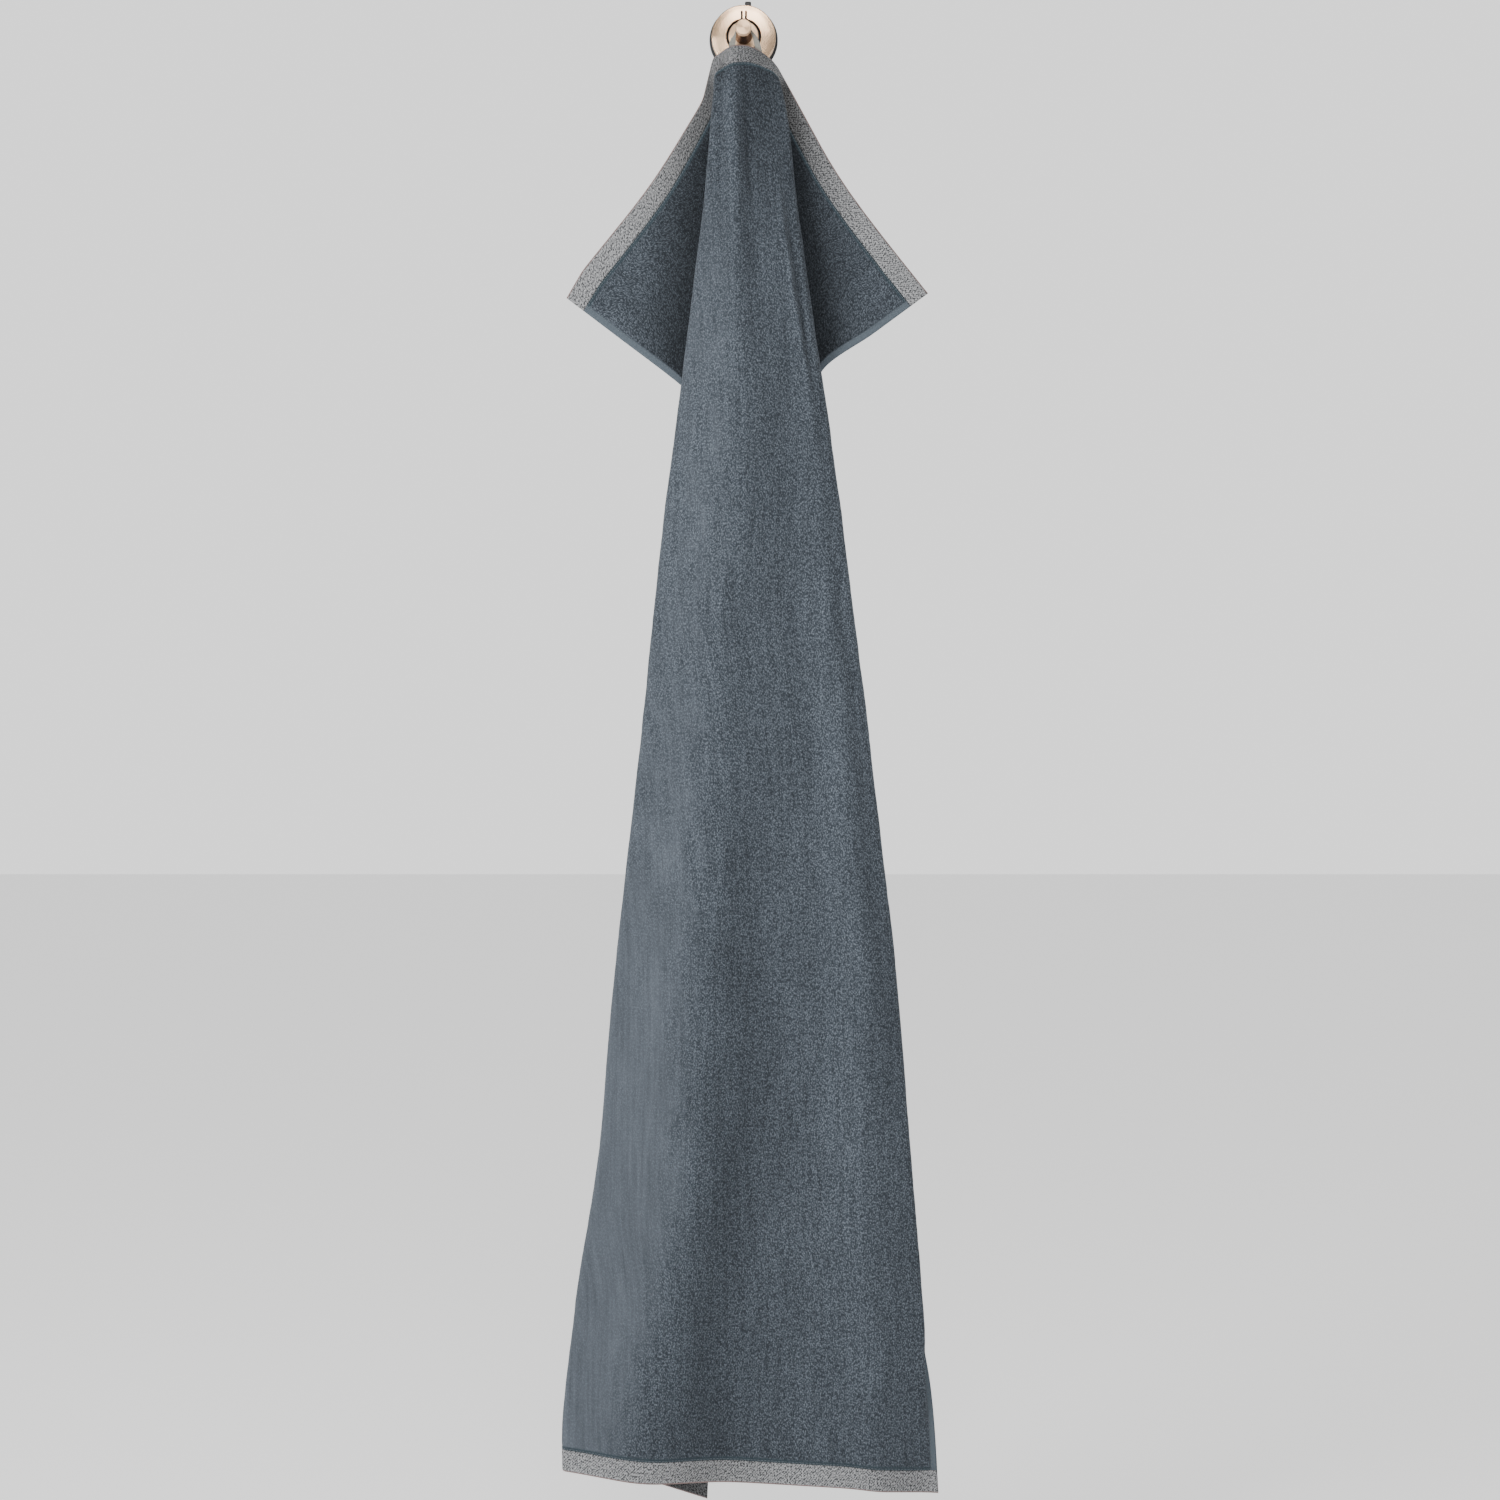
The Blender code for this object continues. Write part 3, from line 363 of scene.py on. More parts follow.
# Loops of the pile to the metre, across and down, and the patterns of pile and yarn.
# Columns: cells to the metre across and down, detail and roughness.
PILE_LOOPS = (760.0, 500.0)
PILE_GRAIN = (840.0, 500.0, 2.0, 0.65)
PILE_MOTTLE = (20.0, 8.0, 4.0, 0.62)
PILE_STREAKS = (240.0, 12.0, 2.0, 0.60)
PILE_WISPS = (70.0, 22.0, 5.0, 0.65)
HEM_WEAVE = (900.0, 500.0, 1.0, 0.50)
BAND_YARNS = (640.0, 520.0, 2.0, 0.70)
BAND_MOTTLE = (25.0, 25.0, 2.0, 0.50)
BAND_TWILL = (240.0, 240.0)
# How much of each goes into the look, and the ranges over which it turns from dark to light.
LOOP_SHARE = 0.45
TWILL_SHARE = 0.10
WISP_REACH = 1.1
WISP_RANGE = (0.05, 1.00)
SPECK_RANGE = (0.57, 1.06)
YARN_RANGE = (0.43, 0.65)
PILE_MOTTLE_CONTRAST = 0.55
BAND_MOTTLE_CONTRAST = 0.25
STREAK_CONTRAST = 0.75
HEM_FADE = 0.0008
BRUSHED_FLATTENING = 0.45
WEAVE_RELIEF = 0.15
# The bumps' strength and height, and the fuzz's weight and tint.
TERRY_BUMP = (0.8, 0.0016)
BAND_BUMP = (0.6, 0.0008)
BRUSHED_BUMP = (0.05, 0.0001)
TERRY_FUZZ = (0.10, (0.80, 0.88, 1.0))
BAND_FUZZ = 0.05
EDGE_THREAD_FADE = (0.0006, 0.0016)

# Unevenness of the sheet. Columns: height, cell across, cell along and seed.
UNEVENNESS = ((0.0006, 0.050, 0.090, 11), (0.0003, 0.018, 0.030, 12))
PRESS_WANDER = (0.004, 0.040, 0.5, 13)
PRESS_FADE = 0.01
PILE_UNEVENNESS = (0.00018, 0.0045, 0.0060, 20)
# The side edges stay on the smooth drape, and the relief grows to the full this far from them.
RELIEF_FROM_EDGE = 0.02
# Distances from a hem's inner edge, and from a seam, over which the pile grows to the full.
PILE_FROM_HEM = (-0.001, 0.003)
PILE_FROM_SEAM = (-0.001, 0.004)
BAND_EDGE_SHARE = 0.6
BAND_EDGE_ROUND = 0.002

STITCH_SIDES = 6
STITCH_PITCH = 0.0034
STITCH_LENGTH = 0.0027
STITCH_RADIUS = 0.00032
STITCH_FLATNESS = 0.8
STITCH_START = 0.3
# Rings of a stitch. Columns: share of its length, rise and size in radii.
STITCH_RINGS = ((0.0, -0.4, 0.35), (0.25, 0.8, 1.0), (0.75, 0.8, 1.0), (1.0, -0.4, 0.35))
STITCH_FROM_EDGE = 0.0058
STITCH_FROM_SEAM = 0.0012

TERRY_DARK = (0.028, 0.034, 0.042)
TERRY_LIGHT = (0.138, 0.162, 0.192)
TERRY_BRUSHED = (0.088, 0.102, 0.121)
# Painted shade along the seams with the bands: its colour, width and fade.
PAINTED_SEAM_SHADE = (0.032, 0.048, 0.058)
PAINTED_SEAM_SHADE_WIDTH = 0.0016
PAINTED_SEAM_SHADE_FADE = 0.0030
HEM_DARK = (0.050, 0.064, 0.078)
HEM_LIGHT = (0.115, 0.138, 0.162)
BAND_DARK = (0.034, 0.036, 0.039)
BAND_LIGHT = (0.330, 0.335, 0.345)
EDGE_THREAD = (0.200, 0.140, 0.132)
# Plain materials. Columns: name, roughness, grains to the metre, detail, dark and light colour, the
# bump's strength and height, and the weight of the fuzz.
PLAIN_MATERIALS = (
    ("loop_tape", 0.90, 900.0, 1.0, (0.130, 0.128, 0.112), (0.330, 0.325, 0.290), 0.4, 0.0004, 0.1),
    ("pad_rubber", 0.55, 1500.0, 2.0, (0.006, 0.006, 0.007), (0.020, 0.020, 0.021), 0.2, 0.0002, 0.0),
    ("sewing_thread", 0.70, 1800.0, 1.0, (0.060, 0.075, 0.090), (0.130, 0.150, 0.175), 0.3, 0.0002, 0.0),
)
# Materials of the hook's metal, and a dark non-metal painted shadow for the cover's hub well and
# slots. Columns: name, dark and light colour, roughness, share of metal.
WARM_NICKEL = ((0.520, 0.360, 0.240), (0.860, 0.600, 0.385))
METALS = (
    ("brushed_cover", *WARM_NICKEL, 0.25, 1.0),
    ("brushed_hub", *WARM_NICKEL, 0.42, 1.0),
    # Painted shadow for the hub's well and the slots.
    ("recess_painted_shadow", (0.012, 0.010, 0.009), (0.032, 0.027, 0.024), 0.80, 0.0),
    ("neck_metal", (0.060, 0.045, 0.038), (0.190, 0.120, 0.092), 0.25, 1.0),
)
# The rings of the brushing to the metre, and how far highlights spread across them.
BRUSHED_RINGS = 1400.0
BRUSHED_SPREAD = 0.88

# Strength of the light from all round, on the room's side and on the wall's side, and where, from
# the room (-1) to the wall (1), it changes from one to the other.
ROOM_SIDE_LIGHT = 0.34
WALL_SIDE_LIGHT = 1.45
WORLD_TURN = (0.0, 0.7)
FLOOR_GLOW = 0.54
# Columns: name, place, the point it faces, size, power and colour.
STUDIO_LIGHTS = (
    ("key_left", (-2.1, -2.3, -0.2), (0.0, 0.0, -0.9), (1.1, 2.0), 79.0, (1.0, 1.0, 1.0)),
    ("top_front", (0.1, -2.2, 1.2), (0.0, 0.0, -0.2), (0.9, 0.9), 36.0, (1.0, 0.98, 0.95)),
)

ROUND_STEPS = 128
SHARP_DEGREES = 32.0

# The loop's tape from its left end, behind the band, over the peg's neck to its right end.
# Columns: x, depth, drop, facing (degrees: 0 lies flat on the peg, 90 faces the viewer).
TAPE_PATH = (
    (-0.0112, 0.0436, 0.0290, 90.0),
    (-0.0112, 0.0436, 0.0190, 90.0),
    (-0.0104, 0.0405, 0.0110, 55.0),
    (-0.0086, 0.0365, 0.0045, 15.0),
    (-0.0070, 0.0340, 0.0000, 0.0),
    (-0.0049, 0.0335, -0.0049, 0.0),
    (0.0000, 0.0335, -0.0070, 0.0),
    (0.0049, 0.0335, -0.0049, 0.0),
    (0.0072, 0.0340, 0.0000, 0.0),
    (0.0098, 0.0365, 0.0055, -15.0),
    (0.0127, 0.0400, 0.0130, -55.0),
    (0.0150, 0.0425, 0.0220, -85.0),
    (0.0165, 0.0425, 0.0320, -90.0),
)


def slopes(knots, values):
    """Slope at each knot that keeps the curve between its knots' values."""
    steps = np.diff(knots)
    rates = np.diff(values) / steps
    inner = np.zeros(len(knots))
    same_sign = rates[:-1] * rates[1:] > 0
    weight_a = 2 * steps[1:] + steps[:-1]
    weight_b = steps[1:] + 2 * steps[:-1]
    safe_a = np.where(same_sign, rates[:-1], 1.0)
    safe_b = np.where(same_sign, rates[1:], 1.0)
    mean = (weight_a + weight_b) / (weight_a / safe_a + weight_b / safe_b)
    inner[1:-1] = np.where(same_sign, mean, 0.0)
    inner[0] = rates[0]
    inner[-1] = rates[-1]
    return inner


def smooth_column(knots, values, at):
    """A smooth curve through the table's values that makes no new bump."""
    knots = np.asarray(knots, float)
    values = np.asarray(values, float)
    tangent = slopes(knots, values)
    cell = np.clip(np.searchsorted(knots, at, side="right") - 1, 0, len(knots) - 2)
    step = knots[cell + 1] - knots[cell]
    part = (at - knots[cell]) / step
    low = values[cell] * (1 + 2 * part) * (1 - part) ** 2
    low += tangent[cell] * step * part * (1 - part) ** 2
    high = values[cell + 1] * part**2 * (3 - 2 * part)
    high += tangent[cell + 1] * step * part**2 * (part - 1)
    return low + high


def read_line(table, along):
    """A line's columns after the first, at the flat distances in along."""
    rows = np.array(table)
    return [smooth_column(rows[:, 0], column, along) for column in rows.T[1:]]


def centre_of(line):
    """x, depth, drop and across of a line, without the fold's turn."""
    across, x, depth, drop = line[:4]
    return (x, depth, drop, across)


def blend(first, second, share):
    return tuple(a + (b - a) * share for a, b in zip(first, second))


def fold_knots(line, side, first_back, before, after, overlap):
    """Five control points round a fold, between the centres of the lines before and after it.

    side is -1 where the fold bulges to -X and 1 to +X. first_back is True where the cloth comes to
    the fold on the wall's side. overlap is how far the layers on both sides of the fold overlap:
    where they don't, the five points lie evenly along the cloth.
    """
    across, x, depth, drop, turn = line
    centre = centre_of(line)
    folded_share = np.clip(overlap / (FULL_FOLD_OVERLAP * turn), 0.0, 1.0)
    folded_share = folded_share**2 * (3 - 2 * folded_share)
    knots = []
    for step, angle in enumerate(FOLD_ANGLES):
        reach = FOLD_SPREAD * (2 - step)
        towards = before if step < 2 else after
        flat = blend(centre, towards, abs(reach))
        lean = math.cos(math.radians(angle)) * FOLD_OVERSHOOT
        rise = math.sin(math.radians(angle)) * (1.0 if abs(angle) == 90 else FOLD_OVERSHOOT)
        toward_viewer = rise if first_back else -rise
        bent = (x - side * turn * (1 - lean), depth + toward_viewer * turn, drop, across)
        knots.append(blend(flat, bent, folded_share))
    return knots


def halfway(first, second):
    return blend(first, second, 0.5)


def control_points(along):
    """Control points of the section across the towel, at each flat distance in along."""
    half = TERRY_THICKNESS / 2
    outer_line, inner_line, left_fold, right_fold, right_inner_line = (
        read_line(table, along)
        for table in (LEFT_OUTER_FOLD, LEFT_INNER_FOLD, LEFT_FOLD, RIGHT_FOLD, RIGHT_INNER_FOLD)
    )
    left_edge = (*read_line(LEFT_SIDE, along), -FLAT_WIDTH / 2)
    right_edge = (*read_line(RIGHT_SIDE, along), FLAT_WIDTH / 2)
    left_wing = centre_of(read_line(LEFT_WING, along))
    right_wing = centre_of(read_line(RIGHT_WING, along))
    left_fold[1] = left_fold[1] + half
    right_fold[1] = right_fold[1] - half
    waves = np.array(FRONT_WAVES)
    front = []
    for index in range(len(FRONT_LINES)):
        x = smooth_column(waves[:, 0], waves[:, 1 + 2 * index], along)
        depth = smooth_column(waves[:, 0], waves[:, 2 + 2 * index], along)
        drop = smooth_column(FRONT_DROP_PLACES, FRONT_DROPS[index], along)
        share = (x - left_fold[1]) / (right_fold[1] - left_fold[1])
        across = left_fold[0] + share * (right_fold[0] - left_fold[0])
        front.append((x, depth, drop, across))

    outer_overlap = left_edge[0] - outer_line[1]
    left_overlap = inner_line[1] - left_fold[1]
    right_overlap = right_fold[1] - right_inner_line[1]
    left_centre, right_centre, inner_centre, right_inner_centre = (
        centre_of(line) for line in (left_fold, right_fold, inner_line, right_inner_line)
    )
    outer = fold_knots(outer_line, -1, True, left_edge, left_wing, outer_overlap)
    inner = fold_knots(inner_line, 1, True, left_wing, left_centre, left_overlap)
    left = fold_knots(left_fold, -1, True, inner_centre, front[0], left_overlap)
    right = fold_knots(right_fold, 1, False, front[-1], right_inner_centre, right_overlap)
    right_inner = fold_knots(right_inner_line, -1, False, right_centre, right_wing, right_overlap)

    chain = [left_edge, halfway(left_edge, outer[0]), *outer, left_wing, *inner]
    chain += [halfway(inner[-1], left[0]), *left, halfway(left[-1], front[0])]
    for before, after in zip(front, front[1:]):
        chain += [before, halfway(before, after)]
    chain += [front[-1], halfway(front[-1], right[0]), *right]
    chain += [halfway(right[-1], right_inner[0]), *right_inner, right_wing, right_edge]
    shape = np.shape(along)
    return np.array([[np.broadcast_to(v, shape) for v in knot] for knot in chain])


def drape(positions, along):
    """Points of the towel's middle surface.

    positions holds one row for each value of along, or one row for all of them.
    """
    knots = control_points(along)
    ends = (2 * knots[:1] - knots[1:2], 2 * knots[-1:] - knots[-2:-1])
    knots = np.concatenate((ends[0], knots, ends[1]))
    positions = np.broadcast_to(positions, (len(along), np.shape(positions)[-1]))
    span = np.clip(positions.astype(int), 0, len(knots) - 4)
    part = positions - span
    weights = (
        (1 - part) ** 3 / 6,
        (3 * part**3 - 6 * part**2 + 4) / 6,
        (-3 * part**3 + 3 * part**2 + 3 * part + 1) / 6,
        part**3 / 6,
    )
    row = np.arange(len(along))[:, None]
    x, depth, drop = (
        sum(weights[step] * knots[span + step, value, row] for step in range(4))
        for value in (0, 1, 2)
    )
    return np.stack((x, -depth, -drop), axis=-1)


def row_positions(first, last, count, crowd):
    """Flat distances from first to last, closer together near the hook when crowd is over 1."""
    share = np.linspace(0.0, 1.0, count + 1)
    return first + (last - first) * share**crowd


def lay_out(along):
    """The sheet's grid: its points, its positions along the section, and for each point its
    distance across from the middle of the front and from the nearer side edge, measured along
    the cloth."""
    last = len(control_points(np.zeros(1))) - 1
    fine = np.linspace(0.0, last, last * FINE_STEPS + 1)
    steps = np.linalg.norm(np.diff(drape(fine, along), axis=1), axis=2)
    reach = np.concatenate((np.zeros((len(along), 1)), np.cumsum(steps, axis=1)), axis=1)
    rows = []
    for line in reach:
        low, high = np.interp((EDGE_CELLS[-1], line[-1] - EDGE_CELLS[-1]), line, fine)
        left = np.interp(EDGE_CELLS[:-1], line, fine)
        right = np.interp(line[-1] - np.array(EDGE_CELLS[-2::-1]), line, fine)
        rows.append(np.concatenate((left, np.linspace(low, high, SHEET_COLUMNS), right)))
    positions = np.array(rows)
    at = np.array([np.interp(p, fine, line) for p, line in zip(positions, reach)])
    middle = np.array([[np.interp(MIDDLE_POSITION, fine, line)] for line in reach])
    edge = np.minimum(at, reach[:, -1:] - at)
    return drape(positions, along), positions, at - middle, edge


def grid_normals(points):
    """Unit normals of a grid of points, towards the side that the front layer shows."""
    normal = np.cross(np.gradient(points, axis=0), np.gradient(points, axis=1))
    return normal / np.linalg.norm(normal, axis=-1, keepdims=True)


def soft_noise(u, v, cell_u, cell_v, seed):
    """Smooth random values from -1 to 1 over the cloth, with cells of the given size."""
    size = (int(2.0 / cell_u) + 3, int(2.0 / cell_v) + 3)
    table = np.random.default_rng(seed).uniform(-1.0, 1.0, size)
    across = (u + 1.0) / cell_u
    down = v / cell_v
    i, j = across.astype(int), down.astype(int)
    a, b = across - i, down - j
    a, b = a * a * (3 - 2 * a), b * b * (3 - 2 * b)
    top = table[i, j] * (1 - a) + table[i + 1, j] * a
    bottom = table[i, j + 1] * (1 - a) + table[i + 1, j + 1] * a
    return top * (1 - b) + bottom * b


def step_between(values, low, high):
    """0 below low, 1 above high and a smooth rise between them."""
    share = np.clip((values - low) / (high - low), 0.0, 1.0)
    return share * share * (3 - 2 * share)


def sheet_faces(row_count, column_count):
    """Faces of a closed sheet: its front grid, its back grid and the rim between them."""
    count = row_count * column_count
    corner = np.arange(count).reshape(row_count, column_count)[:-1, :-1].ravel()
    below = corner + column_count
    front = np.stack((corner, below, below + 1, corner + 1), axis=1)
    back = front[:, ::-1] + count
    outline = np.concatenate(
        (
            np.arange(column_count - 1),
            np.arange(row_count - 1) * column_count + column_count - 1,
            np.arange(count - 1, count - column_count, -1),
            np.arange(row_count - 1, 0, -1) * column_count,
        )
    )
    following = np.roll(outline, -1)
    rim = np.stack((outline, following, following + count, outline + count), axis=1)
    return np.concatenate((front, back, rim))


def mesh_object(name, points, faces, material):
    mesh = bpy.data.meshes.new(name)
    mesh.from_pydata(np.asarray(points).tolist(), [], [list(map(int, f)) for f in faces])
    mesh.materials.append(material)
    mesh.shade_smooth()
    made = bpy.data.objects.new(name, mesh)
    bpy.context.scene.collection.objects.link(made)
    return made


def write_cloth_map(mesh, u, v, values):
    """The cloth's own coordinates, in metres, as a UV map, and each of the values, given for the
    front and the back, as an attribute."""
    vertex_of_loop = np.zeros(len(mesh.loops), int)
    mesh.loops.foreach_get("vertex_index", vertex_of_loop)
    both = np.stack((np.tile(u.ravel(), 2), np.tile(v.ravel(), 2)), axis=1)
    layer = mesh.uv_layers.new(name="cloth")
    layer.data.foreach_set("uv", both[vertex_of_loop].ravel())
    for name, faces in values.items():
        attribute = mesh.attributes.new(name, "FLOAT", "POINT")
        both = np.concatenate([grid.ravel() for grid in faces])
        attribute.data.foreach_set("value", both.astype(np.float32))


def make_cloth(name, material, along, half_thickness, relief):
    """A closed sheet on the drape. half_thickness and relief give, in metres, how far each face
    lies from the middle surface and how far the sheet itself moves."""
    points, positions, u, edge = lay_out(along)
    v = np.broadcast_to(along[:, None], u.shape)
    normal = grid_normals(points)
    points = points + normal * relief(positions, u, v, edge)[..., None]
    front = points + normal * half_thickness(u, v, edge, 1)[..., None]
    back = points - normal * half_thickness(u, v, edge, 2)[..., None]
    both = np.concatenate((front.reshape(-1, 3), back.reshape(-1, 3)))
    cloth = mesh_object(name, both, sheet_faces(*u.shape), material)
    brushed = brushed_share(positions, v)
    values = {
        "edge": (edge, edge),
        # Painted light and shade for the two faces.
        "painted_shading": paint_light_and_shade(points, positions, v),
        "brushed": (brushed, np.zeros(v.shape)),
    }
    write_cloth_map(cloth.data, u, v, values)
    return cloth


def paint_light_and_shade(points, positions, v):
    """Painted light and shade, as a factor on the colour of the sheet's two faces: broad soft patches
    are painted lighter or darker, and painted shadow darkens the wings close behind the front layer."""
    painted_shading = np.ones(positions.shape)
    # Broad patches of painted light and shade.
    for along, along_reach, place, place_reach, gain in PAINTED_SHADING_PATCHES:
        far = ((v - along) / along_reach) ** 2 + ((positions - place) / place_reach) ** 2
        painted_shading += gain * np.exp(-far)
    # Painted shadow: the wings are darkened close beside the front layer's sides, down to
    # WING_SHADE_END.
    below = -points[..., 2] - WING_SHADE_TOP
    left, left_lean, right, right_lean = FRONT_SIDES
    x = points[..., 0]
    beside = np.maximum(left - left_lean * below - x, x - right - right_lean * below)
    behind = step_between(np.abs(positions - MIDDLE_POSITION), *FRONT_REACH)
    behind *= 1 - step_between(v, *WING_SHADE_END)
    painted_shading -= behind * WING_SHADE * np.exp(-((beside / WING_SHADE_REACH) ** 2)) * painted_shading
    return painted_shading, np.where((positions < 2) & (v > WING_SHADE_END[1]), painted_shading, 1.0)


def brushed_share(positions, v):
    """Where the front's pile is brushed flat: from the left fold to BRUSHED_END."""
    leaning = positions + BRUSHED_LEAN * step_between(v, *BRUSHED_LEAN_AT)
    share = step_between(positions, *BRUSHED_START) * (1 - step_between(leaning, *BRUSHED_END))
    fuller = BRUSHED_UPPER + (1 - BRUSHED_UPPER) * step_between(v, *BRUSHED_FULL_AT)
    return share * fuller * step_between(v, *BRUSHED_TOP)


def set_socket(tree, socket, value):
    """Links another node's output to the socket, or sets its value."""
    if isinstance(value, bpy.types.NodeSocket):
        tree.links.new(value, socket)
    elif socket.type == "RGBA":
        socket.default_value = (*value, 1.0)
    else:
        socket.default_value = value


def new_node(tree, kind, inputs=None, output=0, **settings):
    """Adds a shader node and gives one of its outputs, by number or name. inputs maps a socket's
    name or number to a value or to another node's output."""
    made = tree.nodes.new(kind)
    for name, value in settings.items():
        setattr(made, name, value)
    for name, value in (inputs or {}).items():
        set_socket(tree, made.inputs[name], value)
    return made.outputs[output]


def math_node(tree, operation, first, second=0.0, third=0.0):
    return new_node(tree, "ShaderNodeMath", {0: first, 1: second, 2: third}, operation=operation)


def product(tree, first, second):
    return math_node(tree, "MULTIPLY", first, second)


def mix_colour(tree, share, first, second, blend_type="MIX"):
    inputs = {0: share, 6: first, 7: second}
    return new_node(tree, "ShaderNodeMix", inputs, 2, data_type="RGBA", blend_type=blend_type)


def shaded(tree, colour, factor):
    """The colour times a factor."""
    grey = new_node(tree, "ShaderNodeCombineColor", {0: factor, 1: factor, 2: factor})
    return mix_colour(tree, 1.0, colour, grey, "MULTIPLY")


def new_material(name, roughness, metallic=0.0):
    material = bpy.data.materials.new(name)
    material.use_nodes = True
    shader = material.node_tree.nodes["Principled BSDF"]
    shader.inputs["Roughness"].default_value = roughness
    shader.inputs["Metallic"].default_value = metallic
    return material, material.node_tree, shader


def cloth_place(tree, scale_u, scale_v):
    """The cloth's coordinates times the two scales, in cells to the metre."""
    place = new_node(tree, "ShaderNodeUVMap", uv_map="cloth")
    return new_node(tree, "ShaderNodeMapping", {"Vector": place, "Scale": (scale_u, scale_v, 1.0)})


def ramp(tree, value, low, high):
    """value from low to high, as 0 to 1."""
    inputs = {"Value": value, "From Min": low, "From Max": high}
    return new_node(tree, "ShaderNodeMapRange", inputs, interpolation_type="SMOOTHSTEP")


def between_ends(tree, start, end):
    """0 at the towel's short ends, 1 inside, with the rise from start to end away from each."""
    place = new_node(tree, "ShaderNodeUVMap", uv_map="cloth")
    along = new_node(tree, "ShaderNodeSeparateXYZ", {0: place}, 1)
    from_top = ramp(tree, along, start, end)
    return product(tree, from_top, ramp(tree, along, FLAT_LENGTH - start, FLAT_LENGTH - end))


def spread(tree, value, contrast):
    """A factor around 1 from a value around 0.5."""
    return math_node(tree, "MULTIPLY_ADD", value, contrast, 1.0 - 0.5 * contrast)


def attribute(tree, name):
    return new_node(tree, "ShaderNodeAttribute", None, "Fac", attribute_name=name)


def noise(tree, place, scale, detail, roughness=0.5):
    inputs = {"Vector": place, "Scale": scale, "Detail": detail, "Roughness": roughness}
    return new_node(tree, "ShaderNodeTexNoise", inputs)


def cloth_noise(tree, scale_u, scale_v, detail, roughness):
    return noise(tree, cloth_place(tree, scale_u, scale_v), 1.0, detail, roughness)


def dress(tree, shader, colour, height, bump, bump_height):
    """Gives the shader its colour and its bump."""
    inputs = {"Height": height, "Strength": bump, "Distance": bump_height}
    tree.links.new(colour, shader.inputs["Base Color"])
    tree.links.new(new_node(tree, "ShaderNodeBump", inputs), shader.inputs["Normal"])


def add_fuzz(shader, weight, tint=(1.0, 1.0, 1.0)):
    shader.inputs["Sheen Weight"].default_value = weight
    shader.inputs["Sheen Roughness"].default_value = 0.45
    shader.inputs["Sheen Tint"].default_value = (*tint, 1.0)
    shader.inputs["Specular IOR Level"].default_value = 0.15


def terry_material():
    """Terry: short loops in rows, with a brushed part where the pile lies flat and looks lighter.
    The last HEM_WIDTH at each side is the flat-woven hem, and painted shade makes a dark line along each
    band's seam."""
    material, tree, shader = new_material("terry", 0.95)
    inputs = {"Vector": cloth_place(tree, *PILE_LOOPS), "Scale": 1.0, "Randomness": 0.85}
    crowns = math_node(tree, "SUBTRACT", 1.0, new_node(tree, "ShaderNodeTexVoronoi", inputs))
    pile = math_node(tree, "MULTIPLY_ADD", crowns, LOOP_SHARE, cloth_noise(tree, *PILE_GRAIN))
    middle = math_node(tree, "SUBTRACT", attribute(tree, "brushed"), WISP_REACH / 2)
    ragged = math_node(tree, "MULTIPLY_ADD", cloth_noise(tree, *PILE_WISPS), WISP_REACH, middle)
    brushed = ramp(tree, ragged, *WISP_RANGE)
    speckled = mix_colour(tree, ramp(tree, pile, *SPECK_RANGE), TERRY_DARK, TERRY_LIGHT)
    smooth_share = product(tree, brushed, BRUSHED_STRENGTH)
    colour = mix_colour(tree, smooth_share, speckled, TERRY_BRUSHED)
    shade = spread(tree, cloth_noise(tree, *PILE_MOTTLE), PILE_MOTTLE_CONTRAST)
    # Painted light and shade from the cloth's attribute, times a random mottle.
    shade = product(tree, attribute(tree, "painted_shading"), shade)
    streaks = spread(tree, cloth_noise(tree, *PILE_STREAKS), STREAK_CONTRAST)
    colour = shaded(tree, colour, product(tree, shade, streaks))
    # Painted shade: a dark line along each seam where the pile meets a band.
    seam = BAND_WIDTH + PAINTED_SEAM_SHADE_WIDTH
    away_from_seam = between_ends(tree, seam, seam + PAINTED_SEAM_SHADE_FADE)
    colour = mix_colour(tree, away_from_seam, PAINTED_SEAM_SHADE, colour)
    field = ramp(tree, attribute(tree, "edge"), HEM_WIDTH - HEM_FADE, HEM_WIDTH + HEM_FADE)
    weave = cloth_noise(tree, *HEM_WEAVE)
    colour = mix_colour(tree, field, mix_colour(tree, weave, HEM_DARK, HEM_LIGHT), colour)
    height = product(tree, pile, math_node(tree, "MULTIPLY_ADD", brushed, -BRUSHED_FLATTENING, 1.0))
    height = math_node(tree, "MULTIPLY_ADD", weave, WEAVE_RELIEF, product(tree, height, field))
    dress(tree, shader, colour, height, *TERRY_BUMP)
    add_fuzz(shader, *TERRY_FUZZ)
    return material


def band_material():
    """Flat-woven melange: light and dark yarns mixed, with a warm thread along the outer edge."""
    material, tree, shader = new_material("melange_band", 0.85)
    place = cloth_place(tree, *BAND_TWILL)
    inputs = {"Vector": place, "Scale": 1.0, "Distortion": 3.0, "Detail": 1.0}
    twill = new_node(tree, "ShaderNodeTexWave", inputs, "Fac", bands_direction="DIAGONAL")
    mixed = math_node(tree, "MULTIPLY_ADD", twill, TWILL_SHARE, cloth_noise(tree, *BAND_YARNS))
    colour = mix_colour(tree, ramp(tree, mixed, *YARN_RANGE), BAND_DARK, BAND_LIGHT)
    shade = spread(tree, cloth_noise(tree, *BAND_MOTTLE), BAND_MOTTLE_CONTRAST)
    # Painted light and shade from the cloth's attribute, times a random mottle.
    colour = shaded(tree, colour, product(tree, shade, attribute(tree, "painted_shading")))
    colour = mix_colour(tree, between_ends(tree, *EDGE_THREAD_FADE), EDGE_THREAD, colour)
    dress(tree, shader, colour, mixed, *BAND_BUMP)
    add_fuzz(shader, BAND_FUZZ)
    return material


